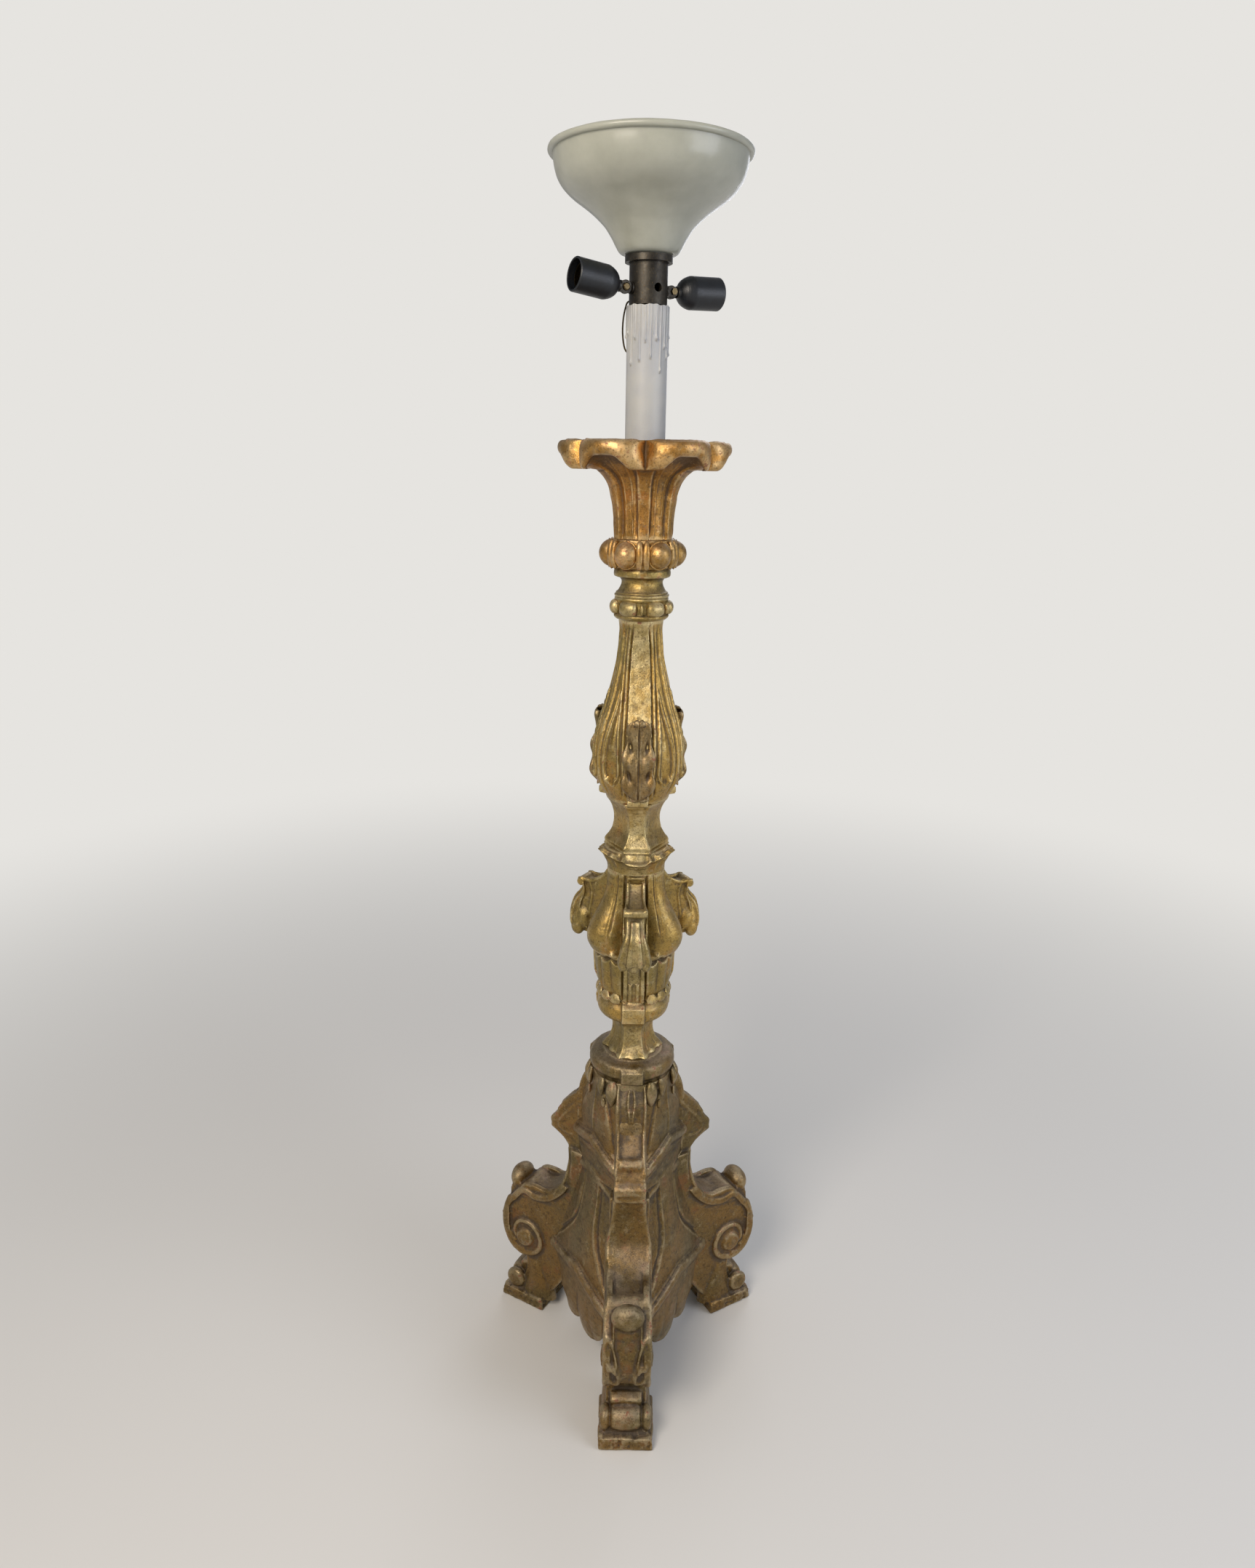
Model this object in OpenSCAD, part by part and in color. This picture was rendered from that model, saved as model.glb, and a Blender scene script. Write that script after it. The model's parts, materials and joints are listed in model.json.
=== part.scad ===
// Carved giltwood torchere candlestick on three scroll legs, wired as a floor lamp.
// Turned and carved sections are stacked on one long lamp tube and clamped by nuts.
// Millimetres, +Z up. The origin is on the floor under the stem axis, and the front
// leg points along -Y. Azimuths are counted from -Y, anticlockwise seen from above.

/* [Section heights, from the floor up] */
// Gap between the floor and the underside of the base body
apron_gap = 45; // [30:1:60]
// Height of the carved base body
base_h = 477; // [440:1:520]
// Height of the strapped ring on top of the base
collar_h = 35; // [28:1:45]
// Height of the flared lower neck
lower_neck_h = 58; // [45:1:80]
// Height of the strapped ring under the vase
lower_ring_h = 42; // [32:1:50]
// Height of the lobed vase
vase_h = 199; // [185:1:215]
// Height of the scalloped ruffle collar
ruffle_h = 35; // [28:1:42]
// Height of the faceted spool
spool_h = 73; // [60:1:90]
// Height of the pear-shaped baluster
baluster_h = 258; // [235:1:280]
// Height of the ring of oblong beads
bead_ring_h = 30; // [26:1:36]
// Height of the hollow-necked disc
disc_h = 39; // [32:1:46]
// Height of the collar of round gadroons
gadroon_h = 38; // [34:1:44]
// Height of the fluted cup
cup_h = 126; // [110:1:140]

/* [Base body and legs] */
// Distance from the axis to the flat seat of each leg
leg_seat_r = 50; // [44:1:54]
// Distance from the axis to a panel's face at the foot of the base body
panel_foot_r = 86; // [80:1:92]
// Distance from the axis to a panel's face at its waist
panel_waist_r = 64; // [60:1:70]
// Radius of the round top of the base body
base_top_r = 62; // [58:1:64]
// Depth of the recesses beside the raised panel cushions
panel_relief = 5; // [3:0.5:7]
// Thickness of the plain side of a scroll leg
leg_w = 62; // [56:1:66]
// Width of the strap and lip above a leg
lip_w = 49; // [42:1:52]
// Width over the rims that border the top and front of a leg
rim_w = 72; // [70:1:76]
// Depth of the hollow panel between the two rims
rim_depth = 4; // [2:0.5:6]
// Width over the pair of volutes of a leg
volute_w = 80; // [78:1:84]
// Distance from the axis to the tip of a foot
foot_r = 232; // [224:1:240]
// Length of a foot pad
pad_l = 85; // [78:1:92]
// Width of a foot pad
pad_w = 84; // [80:1:90]
// Thickness of a foot pad
pad_t = 21; // [16:1:25]
// Radius of the rolls on a toe
toe_r = 16; // [13:0.5:19]
// Radius of the curled leaf knob on the shoulder of a leg
knob_r = 18; // [14:0.5:21]
// Radius of the recess under the base body
recess_r = 34; // [26:1:38]
// Depth of the recess under the base body
recess_h = 120; // [90:1:150]

/* [Stem sections] */
// Outer radius of the strapped ring on the base
collar_r = 66; // [62:1:69]
// Width of the strap blocks on both rings
strap_w = 34; // [28:1:38]
// Distance from the axis to the narrow faces of the lower neck
lower_neck_r = 29; // [26:1:32]
// Outer radius of the strapped ring under the vase
lower_ring_r = 55; // [52:1:58]
// Radius of the straps of the vase where the brackets are seated
vase_strap_r = 48; // [44:1:50]
// Radius over the lobes of the vase
vase_lobe_r = 74; // [68:1:78]
// Width of a vase bracket
bracket_w = 30; // [26:1:32]
// Reach of the vase brackets from the axis
bracket_r = 106; // [98:1:112]
// Outer radius of the ruffle collar
ruffle_r = 53; // [50:1:58]
// Distance from the axis to the narrow faces of the spool
spool_r = 33; // [30:1:36]
// Radius of the neck of the baluster
baluster_neck_r = 29; // [27:1:32]
// Radius of the belly of the baluster
baluster_r = 65; // [60:1:68]
// Width of the flat strips of the baluster
strip_w = 22; // [18:1:26]
// Height that the acanthus leaves stand proud of the baluster
leaf_relief = 12; // [6:1:15]
// Outer radius of the ring of oblong beads
bead_ring_r = 45; // [42:1:48]
// Outer radius of the hollow-necked disc
disc_r = 38; // [36:1:42]
// Outer radius of the gadroon collar
gadroon_r = 59; // [56:1:62]
// Radius of the foot of the cup
cup_foot_r = 42; // [40:1:45]
// Radius of the cup over its lobes
cup_lobe_r = 115; // [108:1:122]
// Radius of the cup at the notches between the lobes
cup_notch_r = 94; // [88:1:100]
// Depth of the drip pan inside the lip of the cup
pan_depth = 19; // [14:1:24]
// Radius of the lamp tube's hole through the wood
wood_bore_r = 6; // [5.6:0.1:7]

/* [Lamp tube, candle sleeve and cluster] */
// Outer radius of the threaded lamp tube
tube_r = 5; // [4.8:0.1:5.2]
// Radius of the wireway inside the lamp tube
tube_bore_r = 3.5; // [3:0.1:4]
// Outer radius of the candle sleeve
candle_r = 26.4; // [25:0.1:28]
// Wall of the candle sleeve
candle_wall = 4; // [3.2:0.1:5]
// Length of the candle sleeve that shows above the cup
candle_h = 162; // [140:1:190]
// Outer radius of the brass cluster body
cluster_r = 24.3; // [23.5:0.1:25]
// Height of the cluster body
cluster_h = 48; // [44:1:56]
// Wall of the cluster body
cluster_wall = 2.4; // [2:0.1:3]
// Height of the arms' axis above the underside of the cluster body
arm_z = 19; // [17:0.5:24]
// Radius of the threaded arm holes in the cluster body
arm_hole_r = 5.2; // [5:0.1:5.5]
// Distance from the stem axis to a holder's tilt pin
pin_reach = 35; // [35:0.5:40]
// Azimuth of the left arm
left_az = -60; // [-75:1:-45]
// Azimuth of the empty arm hole
spare_az = 30; // [15:1:40]
// Azimuth of the right arm
right_az = 120; // [105:1:135]
// Upward tilt of the left lamp holder as it stands
left_tilt = 7; // [-10:0.5:20]
// Upward tilt of the right lamp holder as it stands
right_tilt = 2.5; // [-10:0.5:20]

/* [Lamp holders] */
// Outer radius of a lamp holder
holder_r = 20.2; // [19.5:0.1:21]
// Length of a holder's domed cap
cap_l = 22; // [20:0.5:28]
// Length of a holder's skirt
skirt_l = 40; // [38:0.5:46]
// Wall of the moulded cap and skirt
holder_wall = 2.6; // [2.2:0.1:3]
// Inner radius of the lamp thread shell
shell_r = 13.4; // [13.2:0.1:13.8]
// Wall of the lamp thread shell
shell_wall = 0.8; // [0.5:0.1:1]
// Length of the lamp thread shell
shell_l = 26; // [22:0.5:30]
// Radius of the tilt pin
pin_r = 2; // [1.8:0.1:2.4]
// Thickness of each ear of the tilt knuckle
ear_t = 5; // [4:0.1:6]
// Radius of the moving ear of a tilt knuckle
ear_r = 8; // [7.5:0.1:8.4]

/* [Uplight bowl] */
// Radius of the bowl over its wall
bowl_r = 122; // [112:1:130]
// Height of the bowl
bowl_h = 124; // [115:1:135]
// Wall of the bowl
bowl_wall = 4; // [3:0.5:5]
// Radius of the rolled bead on the bowl's rim
bowl_bead_r = 3.8; // [3.4:0.1:4.5]
// Radius of the opening in the bowl's neck
bowl_neck_r = 24; // [23:0.5:25]
// Outer radius of the gallery that carries the bowl
gallery_r = 30; // [29:0.5:33]
// Height of the gallery
gallery_h = 9; // [7:0.5:12]

/* [Fits] */
// Glue gap between a carved piece and its seat
glue_gap = 0.1; // [0.05:0.05:0.2]
// Radial clearance of a turned spigot in its socket
spigot_gap = 0.2; // [0.1:0.05:0.4]
// Radial running clearance on the tilt pins
pin_gap = 0.05; // [0.02:0.01:0.1]
// Gap between the two ears of a knuckle
ear_gap = 0.1; // [0.05:0.05:0.3]

/* [Hidden] */
$fn = 48;

// Finishes
gilt = "#a5803e";
gilt_orange = "#b07c38";
wax = "#d8d6d2";
opal = "#e4e2d2";
patina = "#4a4338";
brass = "#a08040";
bakelite = "#20262c";
steel = "#8c8f92";

// Levels of the stack, from the floor up
collar_z = apron_gap + base_h;
lower_neck_z = collar_z + collar_h;
lower_ring_z = lower_neck_z + lower_neck_h;
vase_z = lower_ring_z + lower_ring_h;
ruffle_z = vase_z + vase_h;
spool_z = ruffle_z + ruffle_h;
baluster_z = spool_z + spool_h;
bead_ring_z = baluster_z + baluster_h;
disc_z = bead_ring_z + bead_ring_h;
gadroon_z = disc_z + disc_h;
cup_z = gadroon_z + gadroon_h;
lip_z = cup_z + cup_h;
pan_z = lip_z - pan_depth;
cluster_z = lip_z + candle_h;
arm_level = cluster_z + arm_z;
gallery_z = cluster_z + cluster_h;
bowl_z = gallery_z + 3;

// Legs
leg_turns = [0, 120, 240];
scroll_eye = [foot_r - 46, 135];
shelf_z = 238;
leg_top_z = 345;
lip_r = 139;
shelf_half = 25;
rim_band = 13;
leg_neck_r = 103.5;

// Spigots that register one section in the next
spigot_r = 16;
spigot_h = 14;

// ---------- geometry helpers ----------

function turned(p, a) = [p[0] * cos(a) - p[1] * sin(a), p[0] * sin(a) + p[1] * cos(a), p[2]];
function flipped(p) = [-p[0], p[1], p[2]];
// A point at an azimuth, radius and height
function polar(a, r, z) = [r * sin(a), -r * cos(a), z];

// A closed ring from half a sector, mirrored and repeated round the axis
function ring(fold, half) = [for (k = [0 : fold - 1]) each concat(
    [for (p = half) turned(p, 360 / fold * k)],
    [for (i = [len(half) - 2 : -1 : 1]) turned(flipped(half[i]), 360 / fold * (k + 1))])];

// Index of the span of stations that holds u
function span(s, u, i = 0) = (i >= len(s) - 2 || u <= s[i + 1][0]) ? i : span(s, u, i + 1);
// Smooth curve through stations [u, value]
function track(s, u) = let (
    i = span(s, u), a = s[max(i - 1, 0)], b = s[i], c = s[i + 1],
    d = s[min(i + 2, len(s) - 1)], h = c[0] - b[0],
    t = max(0, min(1, (u - b[0]) / h)),
    mb = (c[1] - a[1]) / (c[0] - a[0]) * h, mc = (d[1] - b[1]) / (d[0] - b[0]) * h)
    (2 * t * t * t - 3 * t * t + 1) * b[1] + (t * t * t - 2 * t * t + t) * mb
    + (3 * t * t - 2 * t * t * t) * c[1] + (t * t * t - t * t) * mc;
// Smooth step from 0 at a to 1 at b
function ease(a, b, u) = let (t = max(0, min(1, (u - a) / (b - a)))) t * t * (3 - 2 * t);
// Smooth path through plane points, n steps a span
function path(p, n = 4) = [for (i = [0 : len(p) - 2], k = [0 : n - 1 + (i == len(p) - 2 ? 1 : 0)])
    let (a = p[max(i - 1, 0)], b = p[i], c = p[i + 1], d = p[min(i + 2, len(p) - 1)], t = k / n)
    0.5 * (2 * b + (c - a) * t + (2 * a - 5 * b + 4 * c - d) * t * t
    + (3 * b - a - 3 * c + d) * t * t * t)];
// The path moved sideways by w
function beside(p, w) = [for (i = [0 : len(p) - 1]) let (
    a = p[max(i - 1, 0)], b = p[min(i + 1, len(p) - 1)], t = (b - a) / norm(b - a))
    p[i] + w * [t[1], -t[0]]];
function backwards(p) = [for (i = [len(p) - 1 : -1 : 0]) p[i]];

// Solid skin over a stack of rings, the lowest or outermost first
module skin(rings) {
    n = len(rings[0]);
    m = len(rings);
    polyhedron(
        points = [for (r = rings, p = r) p],
        faces = concat(
            [[for (j = [0 : n - 1]) j]],
            [for (i = [0 : m - 2], j = [0 : n - 1])
                let (a = i * n + j, b = i * n + (j + 1) % n) each [[a, a + n, b], [b, a + n, b + n]]],
            [[for (j = [n - 1 : -1 : 0]) (m - 1) * n + j]]));
}

// A plane outline in (distance from the axis, height), given a width across the leg's plane
module slab(w) rotate([90, 0, -90]) linear_extrude(height = w, center = true) children();

// Hole for the lamp tube through a section
module tube_hole(z, h) translate([0, 0, z - 1]) cylinder(r = wood_bore_r, h = h + 2);

// Socket in the foot of a section, for the spigot of the one below
module socket(z) translate([0, 0, z - 1]) cylinder(r = spigot_r + spigot_gap, h = spigot_h + 1.5);

// Spigot on top of a section
module spigot(z) translate([0, 0, z - 1]) cylinder(r = spigot_r, h = spigot_h + 1);

// A carved section with its spigot, socket and tube hole
module section(z, h, top_spigot = true, foot_socket = true) {
    difference() {
        union() {
            children();
            if (top_spigot) spigot(z + h);
        }
        if (foot_socket) socket(z);
        tube_hole(z, h + spigot_h);
    }
}

// ---------- base ----------

// Half width of the leg at height z
function slot_half(z) = (z < leg_top_z ? leg_w : lip_w) / 2;
// Distance from the axis to a panel's face; f runs from 0 at the foot to 1 at the top
function face_r(f) = track([[0, panel_foot_r - 5], [0.09, panel_foot_r], [0.25, panel_foot_r + 3],
    [0.33, panel_foot_r], [0.45, (panel_foot_r + panel_waist_r) / 2], [0.6, panel_waist_r],
    [0.8, panel_waist_r - 2], [1, base_top_r]], f);
// Raised mouldings across the panels
function moulding(f) = 4 * (ease(0.225, 0.24, f) - ease(0.258, 0.27, f))
    + 4 * (ease(0.74, 0.752, f) - ease(0.768, 0.78, f));
// Where the raised cushion begins, as a share of the way from the leg to the panel's centre
function cushion_edge(f) = 0.2 + 0.14 * sin(180 * ease(0.25, 0.64, f));
// Share of the relief that is cut at height f
function relief(f) = (ease(0.27, 0.29, f) - ease(0.62, 0.645, f))
    + 0.8 * (ease(0.78, 0.8, f) - ease(0.93, 0.97, f));

function base_half(f) = let (
    z = apron_gap + f * base_h, hw = slot_half(z), d = face_r(f),
    n = [sin(60), -cos(60)], corner = [hw, -(d - sin(60) * hw) / cos(60)],
    q = ease(0.84, 1, f), bulge = 6 * (1 - q), edge = cushion_edge(f), start = asin(hw / base_top_r))
    // The two faces meet in front of the axis, inside the slot that is cut for the leg
    concat([[0, -1.7 * d * (1 - q) - q * base_top_r, z]],
    [for (s = [0.07, 0.12, edge - 0.03, edge + 0.03, 0.6, 0.8, 1]) let (
        cut = s < 0.1 ? 0 : (s < edge || f > 0.7) ? 1 : 0,
        out = d + bulge * (1 - (1 - s) * (1 - s)) + moulding(f) - panel_relief * relief(f) * cut,
        flat = corner + s * (n * d - corner) + (out - d) * n,
        round = polar(start + s * (60 - start), base_top_r, z))
        [flat[0] + q * (round[0] - flat[0]), flat[1] + q * (round[1] - flat[1]), z]]);

// Slot for a leg or a bracket, from height z up
module slot(z, h, half, seat) for (a = leg_turns) rotate(a)
    translate([-half, -3 * panel_foot_r - seat, z]) cube([2 * half, 3 * panel_foot_r, h]);

module base_body() color(gilt) difference() {
    union() {
        skin([for (f = [0, 0.05, 0.1, 0.17, 0.225, 0.24, 0.258, 0.27, 0.29, 0.35, 0.42, 0.5, 0.57,
            0.62, 0.64, 0.7, 0.74, 0.752, 0.768, 0.78, 0.8, 0.87, 0.93, 0.97, 1])
            ring(3, base_half(f))]);
        spigot(collar_z);
    }
    slot(apron_gap - 1, leg_top_z - apron_gap, leg_w / 2 + glue_gap, leg_seat_r);
    slot(leg_top_z - 30, base_h, lip_w / 2 + glue_gap, leg_seat_r);
    translate([0, 0, apron_gap - 1]) cylinder(r = recess_r, h = recess_h + 1);
    tube_hole(apron_gap, base_h + spigot_h);
    cable_way(cable_r + glue_gap);
    // Scalloped notches in the apron beside the legs
    for (a = leg_turns, s = [-1, 1]) rotate(a + 36 * s) translate([0, -recess_r - 7, apron_gap + 1])
        rotate([90, 0, 0]) cylinder(r = 13, h = 2 * panel_foot_r);
}

// Straight way from the recess to the middle of the back panel
cable_r = 5;
cable_z = apron_gap + 60;
cable_out = panel_foot_r + 14;
module cable_way(r) translate([0, 0, cable_z]) rotate([-90, 0, 0]) cylinder(r = r, h = cable_out);

module cable_bush() color(brass) {
    back = panel_foot_r + 7.5;
    translate([0, 0, cable_z]) rotate([-90, 0, 0]) difference() {
        union() {
            translate([0, 0, recess_r + 4]) cylinder(r = cable_r, h = back - recess_r - 2);
            translate([0, 0, back]) cylinder(r = cable_r + 3, h = 2.5);
        }
        cylinder(r = cable_r - 1.5, h = cable_out);
    }
}

// ---------- legs ----------

// Strap that runs down from the collar and swells into a lip, heights counted from the collar
function lip_face() = concat(
    path([[base_top_r - 6, 0], [base_top_r + 9.5, -23], [lip_r - 58, -46], [lip_r - 51, -68],
        [lip_r - 29, -91], [lip_r - 12, -117], [lip_r - 1, -143], [lip_r, -151]], 3),
    path([[lip_r - 9, -155], [lip_r - 24, -164], [leg_neck_r + 1, -175]], 3));

// Hollow shelf and outer curve of the scroll, from the neck to under the volute; drop lowers
// the shelf, and inset draws in the outer curve
function scroll_face(drop = 0, inset = 0) = let (e = scroll_eye, s = shelf_z - drop, i = inset)
    path([[leg_neck_r - drop, leg_top_z], [leg_neck_r - drop, shelf_z + 78],
        [leg_neck_r + 9 - drop, shelf_z + 38], [e[0] - 50, s + 11], [e[0] - 23, s],
        [e[0] + 4 - i / 2, s + 2.5], [e[0] + 25 - i, s - 18], [e[0] + 43 - i, s - 48],
        [e[0] + 48 - i, e[1] + 20], [e[0] + 42 - i, e[1] - 9],
        [e[0] + 23 - i / 2, e[1] - 33 + i / 2], [e[0] + 2, e[1] - 36 + i / 2]], 4);

// Shin between the volute and the pad, and back up the inside of the leg
function shin(e) = concat([[e[0], e[1] - 55], [e[0] + 2, e[1] - 80], [e[0] + 8, pad_t]],
    path([[foot_r - pad_l + 6, pad_t], [e[0] - 48, 40], [e[0] - 65, 62], [e[0] - 82, 84]], 4),
    [[e[0] - 88, apron_gap], [leg_seat_r, apron_gap]]);

// Spiral of a volute: radius from the eye after a turn of t degrees
function volute_r(t) = track([[0, 43], [60, 40], [90, 37], [180, 36], [270, 36], [320, 28], [360, 22]], t);
function spiral(in) = [for (t = [0 : 15 : 360]) scroll_eye
    + (volute_r(t) - in * (1 - 0.45 * t / 360)) * [cos(-12 - t), sin(-12 - t)]];

module lip_block() {
    outline = [for (p = lip_face()) [p[0], collar_z + p[1]]];
    slab(lip_w) polygon(concat([[leg_seat_r, collar_z]], outline,
        [[leg_neck_r, leg_top_z - 2], [leg_neck_r, leg_top_z - 60], [leg_seat_r, leg_top_z - 60]]));
}

module scroll_block() {
    foot = shin(scroll_eye);
    slab(2 * shelf_half) polygon(concat([[leg_seat_r, leg_top_z - 2]], scroll_face(0, rim_depth), foot));
    slab(leg_w) polygon(concat([[leg_seat_r, leg_top_z - 2]], scroll_face(8, rim_band - 2), foot));
    rim = [for (p = scroll_face(5, 0)) if (p[1] < shelf_z + 30) p];
    difference() {
        slab(rim_w) polygon(concat(rim, backwards(beside(rim, rim_band))));
        slab(2 * shelf_half) polygon(concat(rim, backwards(beside(rim, rim_depth))));
    }
    slab(volute_w) polygon(concat(spiral(0), backwards(spiral(14))));
    translate([0, -scroll_eye[0], scroll_eye[1]]) rotate([0, 90, 0])
        cylinder(r = 19, h = volute_w - 5, center = true);
}

// Leaf that lies on the front of the scroll under the knob
module scroll_leaf() {
    e = scroll_eye;
    mid = [for (p = scroll_face(0, rim_depth))
        if (p[1] < shelf_z - 2 && p[1] > e[1] - 12 && p[0] > e[0]) p];
    slab(2 * shelf_half - 6) polygon(concat(mid, backwards(beside(mid, -rim_depth - 1.5))));
}

module knob() translate([0, -(scroll_eye[0] + 33), shelf_z - 6]) rotate([0, 90, 0]) {
    half = shelf_half - knob_r;
    cylinder(r = knob_r, h = 2 * half, center = true);
    for (s = [-1, 1]) translate([0, 0, s * half]) sphere(r = knob_r);
}

// Roll across the toe: a ball between two drums
module toe() translate([0, -(foot_r - 25), pad_t + toe_r + 4]) rotate([0, 90, 0]) {
    drum_w = 20;
    cylinder(r = toe_r - 1, h = rim_w, center = true);
    for (s = [-1, 1]) translate([0, 0, s * (volute_w - 4 - drum_w) / 2])
        cylinder(r = toe_r + 3, h = drum_w, center = true);
    sphere(r = toe_r + 4);
}

module foot_pad() translate([-pad_w / 2, -foot_r, 0]) cube([pad_w, pad_l, pad_t]);

module leg() {
    lip_block();
    scroll_block();
    scroll_leaf();
    knob();
    difference() {
        toe();
        translate([-pad_w, -foot_r - pad_l, -2 * pad_t]) cube([2 * pad_w, 2 * pad_l, 3 * pad_t - 1]);
    }
    foot_pad();
}

module leg_front() color(gilt) leg();
module leg_right() color(gilt) rotate(leg_turns[1]) leg();
module leg_left() color(gilt) rotate(leg_turns[2]) leg();

// ---------- rings, necks and vase ----------

// Ring moulding with three strap blocks
module strapped_ring(z, h, r, foot, top) {
    section(z, h) {
        half = h / 2;
        rotate_extrude() polygon(concat([[0, z], [foot, z]],
            path([[foot, z + 0.1 * h], [r - 3, z + 0.2 * h], [r, z + half], [r - 4, z + 0.82 * h],
                [top, z + 0.95 * h]], 5), [[top, z + h], [0, z + h]]));
        for (a = leg_turns) rotate(a) translate([-strap_w / 2, -r - 2.5, z + 0.12 * h])
            cube([strap_w, r, 0.74 * h]);
    }
}

module base_collar() color(gilt) {
    strapped_ring(collar_z, collar_h, collar_r, base_top_r - 2, base_top_r - 14);
    // Small scrolled nibs beside each leg
    for (a = leg_turns) rotate(a) translate([0, -collar_r + 1, collar_z + collar_h - 11])
        rotate([0, 90, 0]) cylinder(r = 5, h = strap_w - 8, center = true);
}

module lower_ring() color(gilt)
    strapped_ring(lower_ring_z, lower_ring_h, lower_ring_r, lower_neck_r + 11, vase_strap_r);

// Section with three narrow faces under the straps and three wide ones between
function six_faced(narrow, wide, z) = let (
    t = atan((wide / narrow - 0.5) / sin(60)), r = narrow / cos(t))
    [for (a = leg_turns, s = [-1, 1]) polar(a + s * t, r, z)];

module lower_neck() color(gilt) section(lower_neck_z, lower_neck_h) {
    top = lower_neck_r;
    skin([for (s = [[0, 14], [0.08, 11], [0.22, 5.5], [0.4, 1.5], [0.6, 0], [0.78, 1.2], [0.9, 4],
        [1, 9]]) six_faced(top + s[1], 0.89 * (top + s[1]), lower_neck_z + s[0] * lower_neck_h)]);
}

// Radius between the lobes and over the lobes of the vase; f runs from the foot to the top
function vase_core_r(f) = track([[0, vase_strap_r], [0.1, vase_strap_r + 8], [0.35, vase_strap_r + 12],
    [0.45, vase_strap_r + 6], [0.62, vase_strap_r], [0.8, vase_strap_r - 6], [1, vase_strap_r - 6]], f);
function vase_lobe(f) = track([[0, 0], [0.34, 0], [0.4, 0.45], [0.46, 0.85], [0.54, 1], [0.64, 0.78],
    [0.78, 0.35], [0.92, 0.06], [1, 0]], f);

module vase() color(gilt) section(vase_z, vase_h) {
    half = bracket_w / 2 + 1;
    difference() {
        skin([for (f = [0, 0.05, 0.1, 0.22, 0.34, 0.38, 0.42, 0.46, 0.5, 0.54, 0.6, 0.66, 0.74,
            0.82, 0.91, 1]) let (z = vase_z + f * vase_h, core = vase_core_r(f),
            swell = (vase_lobe_r - vase_strap_r) * vase_lobe(f))
            ring(3, concat([[0, -core, z]],
                [for (s = [0, 0.12, 0.3, 0.5, 0.7, 0.86, 1]) let (start = asin((half + 1.5) / core),
                    a = start + s * (60 - start), r = core + swell * pow(sin(90 * s), 1.3))
                    polar(a, r, z)]))]);
        slot(vase_z - 1, vase_h + 2, half, vase_strap_r - 10);
    }
}

// Scroll bracket: a strap that curls over in a lip, swells out and tucks back under
module bracket() {
    back = vase_strap_r - 10 + glue_gap;
    b = bracket_r;
    top = vase_z + vase_h;
    slab(bracket_w) polygon(concat(
        [[back, vase_z], [back, top - 2], [b - 66, top - 3]],
        path([[b - 64, top - 12], [b - 56, top - 21], [b - 44, top - 29], [b - 32, top - 33],
            [b - 21, top - 31]], 3),
        path([[b - 13, top - 36], [b - 20, top - 47], [b - 15, top - 58], [b - 6, top - 69],
            [b - 1.5, top - 82], [b, top - 96], [b - 2.5, top - 109], [b - 9.5, top - 118],
            [b - 22, top - 122], [b - 34, top - 124], [b - 42, top - 132]], 3),
        [[vase_strap_r + 14, vase_z + 60], [vase_strap_r + 12, vase_z + 20],
            [vase_strap_r + 4, vase_z + 4], [vase_strap_r, vase_z]]));
    // Rolled end of the lip
    translate([0, -(b - 21), top - 38]) rotate([0, 90, 0])
        cylinder(r = 7, h = bracket_w + 6, center = true);
}

module vase_bracket_front() color(gilt) bracket();
module vase_bracket_right() color(gilt) rotate(leg_turns[1]) bracket();
module vase_bracket_left() color(gilt) rotate(leg_turns[2]) bracket();

// Collar whose upper edge flares out in scallops
module ruffle_collar() color(gilt) section(ruffle_z, ruffle_h) {
    foot = vase_strap_r - 6;
    skin([for (s = [[0, 0, 0], [0.25, 0.12, 0], [0.5, 0.5, 0.4], [0.66, 0.95, 1], [0.78, 1, 1],
        [0.86, 0.8, 0.7], [1, 0.3, 0]]) ring(3, [for (u = [0, 0.18, 0.36, 0.52, 0.68, 0.84, 1]) let (
        wave = s[2] * (2.5 * cos(540 * u) - 1.5))
        polar(60 * u, foot + (ruffle_r - foot) * s[1] + wave, ruffle_z + s[0] * ruffle_h)])]);
}

module spool() color(gilt) section(spool_z, spool_h) {
    n = spool_r;
    skin([for (s = [[0, 11], [0.08, 8.5], [0.2, 4], [0.35, 1.2], [0.55, 0], [0.72, 1.2], [0.86, 5],
        [0.94, 8.5], [1, 10]]) six_faced(n + s[1], 0.78 * (n + s[1]) + s[1] / 3,
        spool_z + s[0] * spool_h)]);
}

// ---------- baluster ----------

// Radius of the body; f runs from the foot to the top
function baluster_body_r(f) = track([[0, baluster_r - 22], [0.05, baluster_r - 15], [0.12, baluster_r - 5],
    [0.19, baluster_r - 0.5], [0.27, baluster_r], [0.36, baluster_r - 3], [0.45, baluster_r - 9],
    [0.55, baluster_neck_r + 18], [0.68, baluster_neck_r + 9], [0.8, baluster_neck_r + 3],
    [0.93, baluster_neck_r], [1, baluster_neck_r + 2]], f);
// Half width of an acanthus leaf, with its three pairs of lobes
function leaf_half(f) = f < 0.02 || f > 0.52 ? 0
    : 25 * pow(sin(180 * min(1, ease(0, 0.28, f) * 0.5 + ease(0.25, 0.55, f) * 0.42)), 0.7)
    - 3.5 * abs(sin(180 * (f - 0.02) / 0.167));

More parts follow.
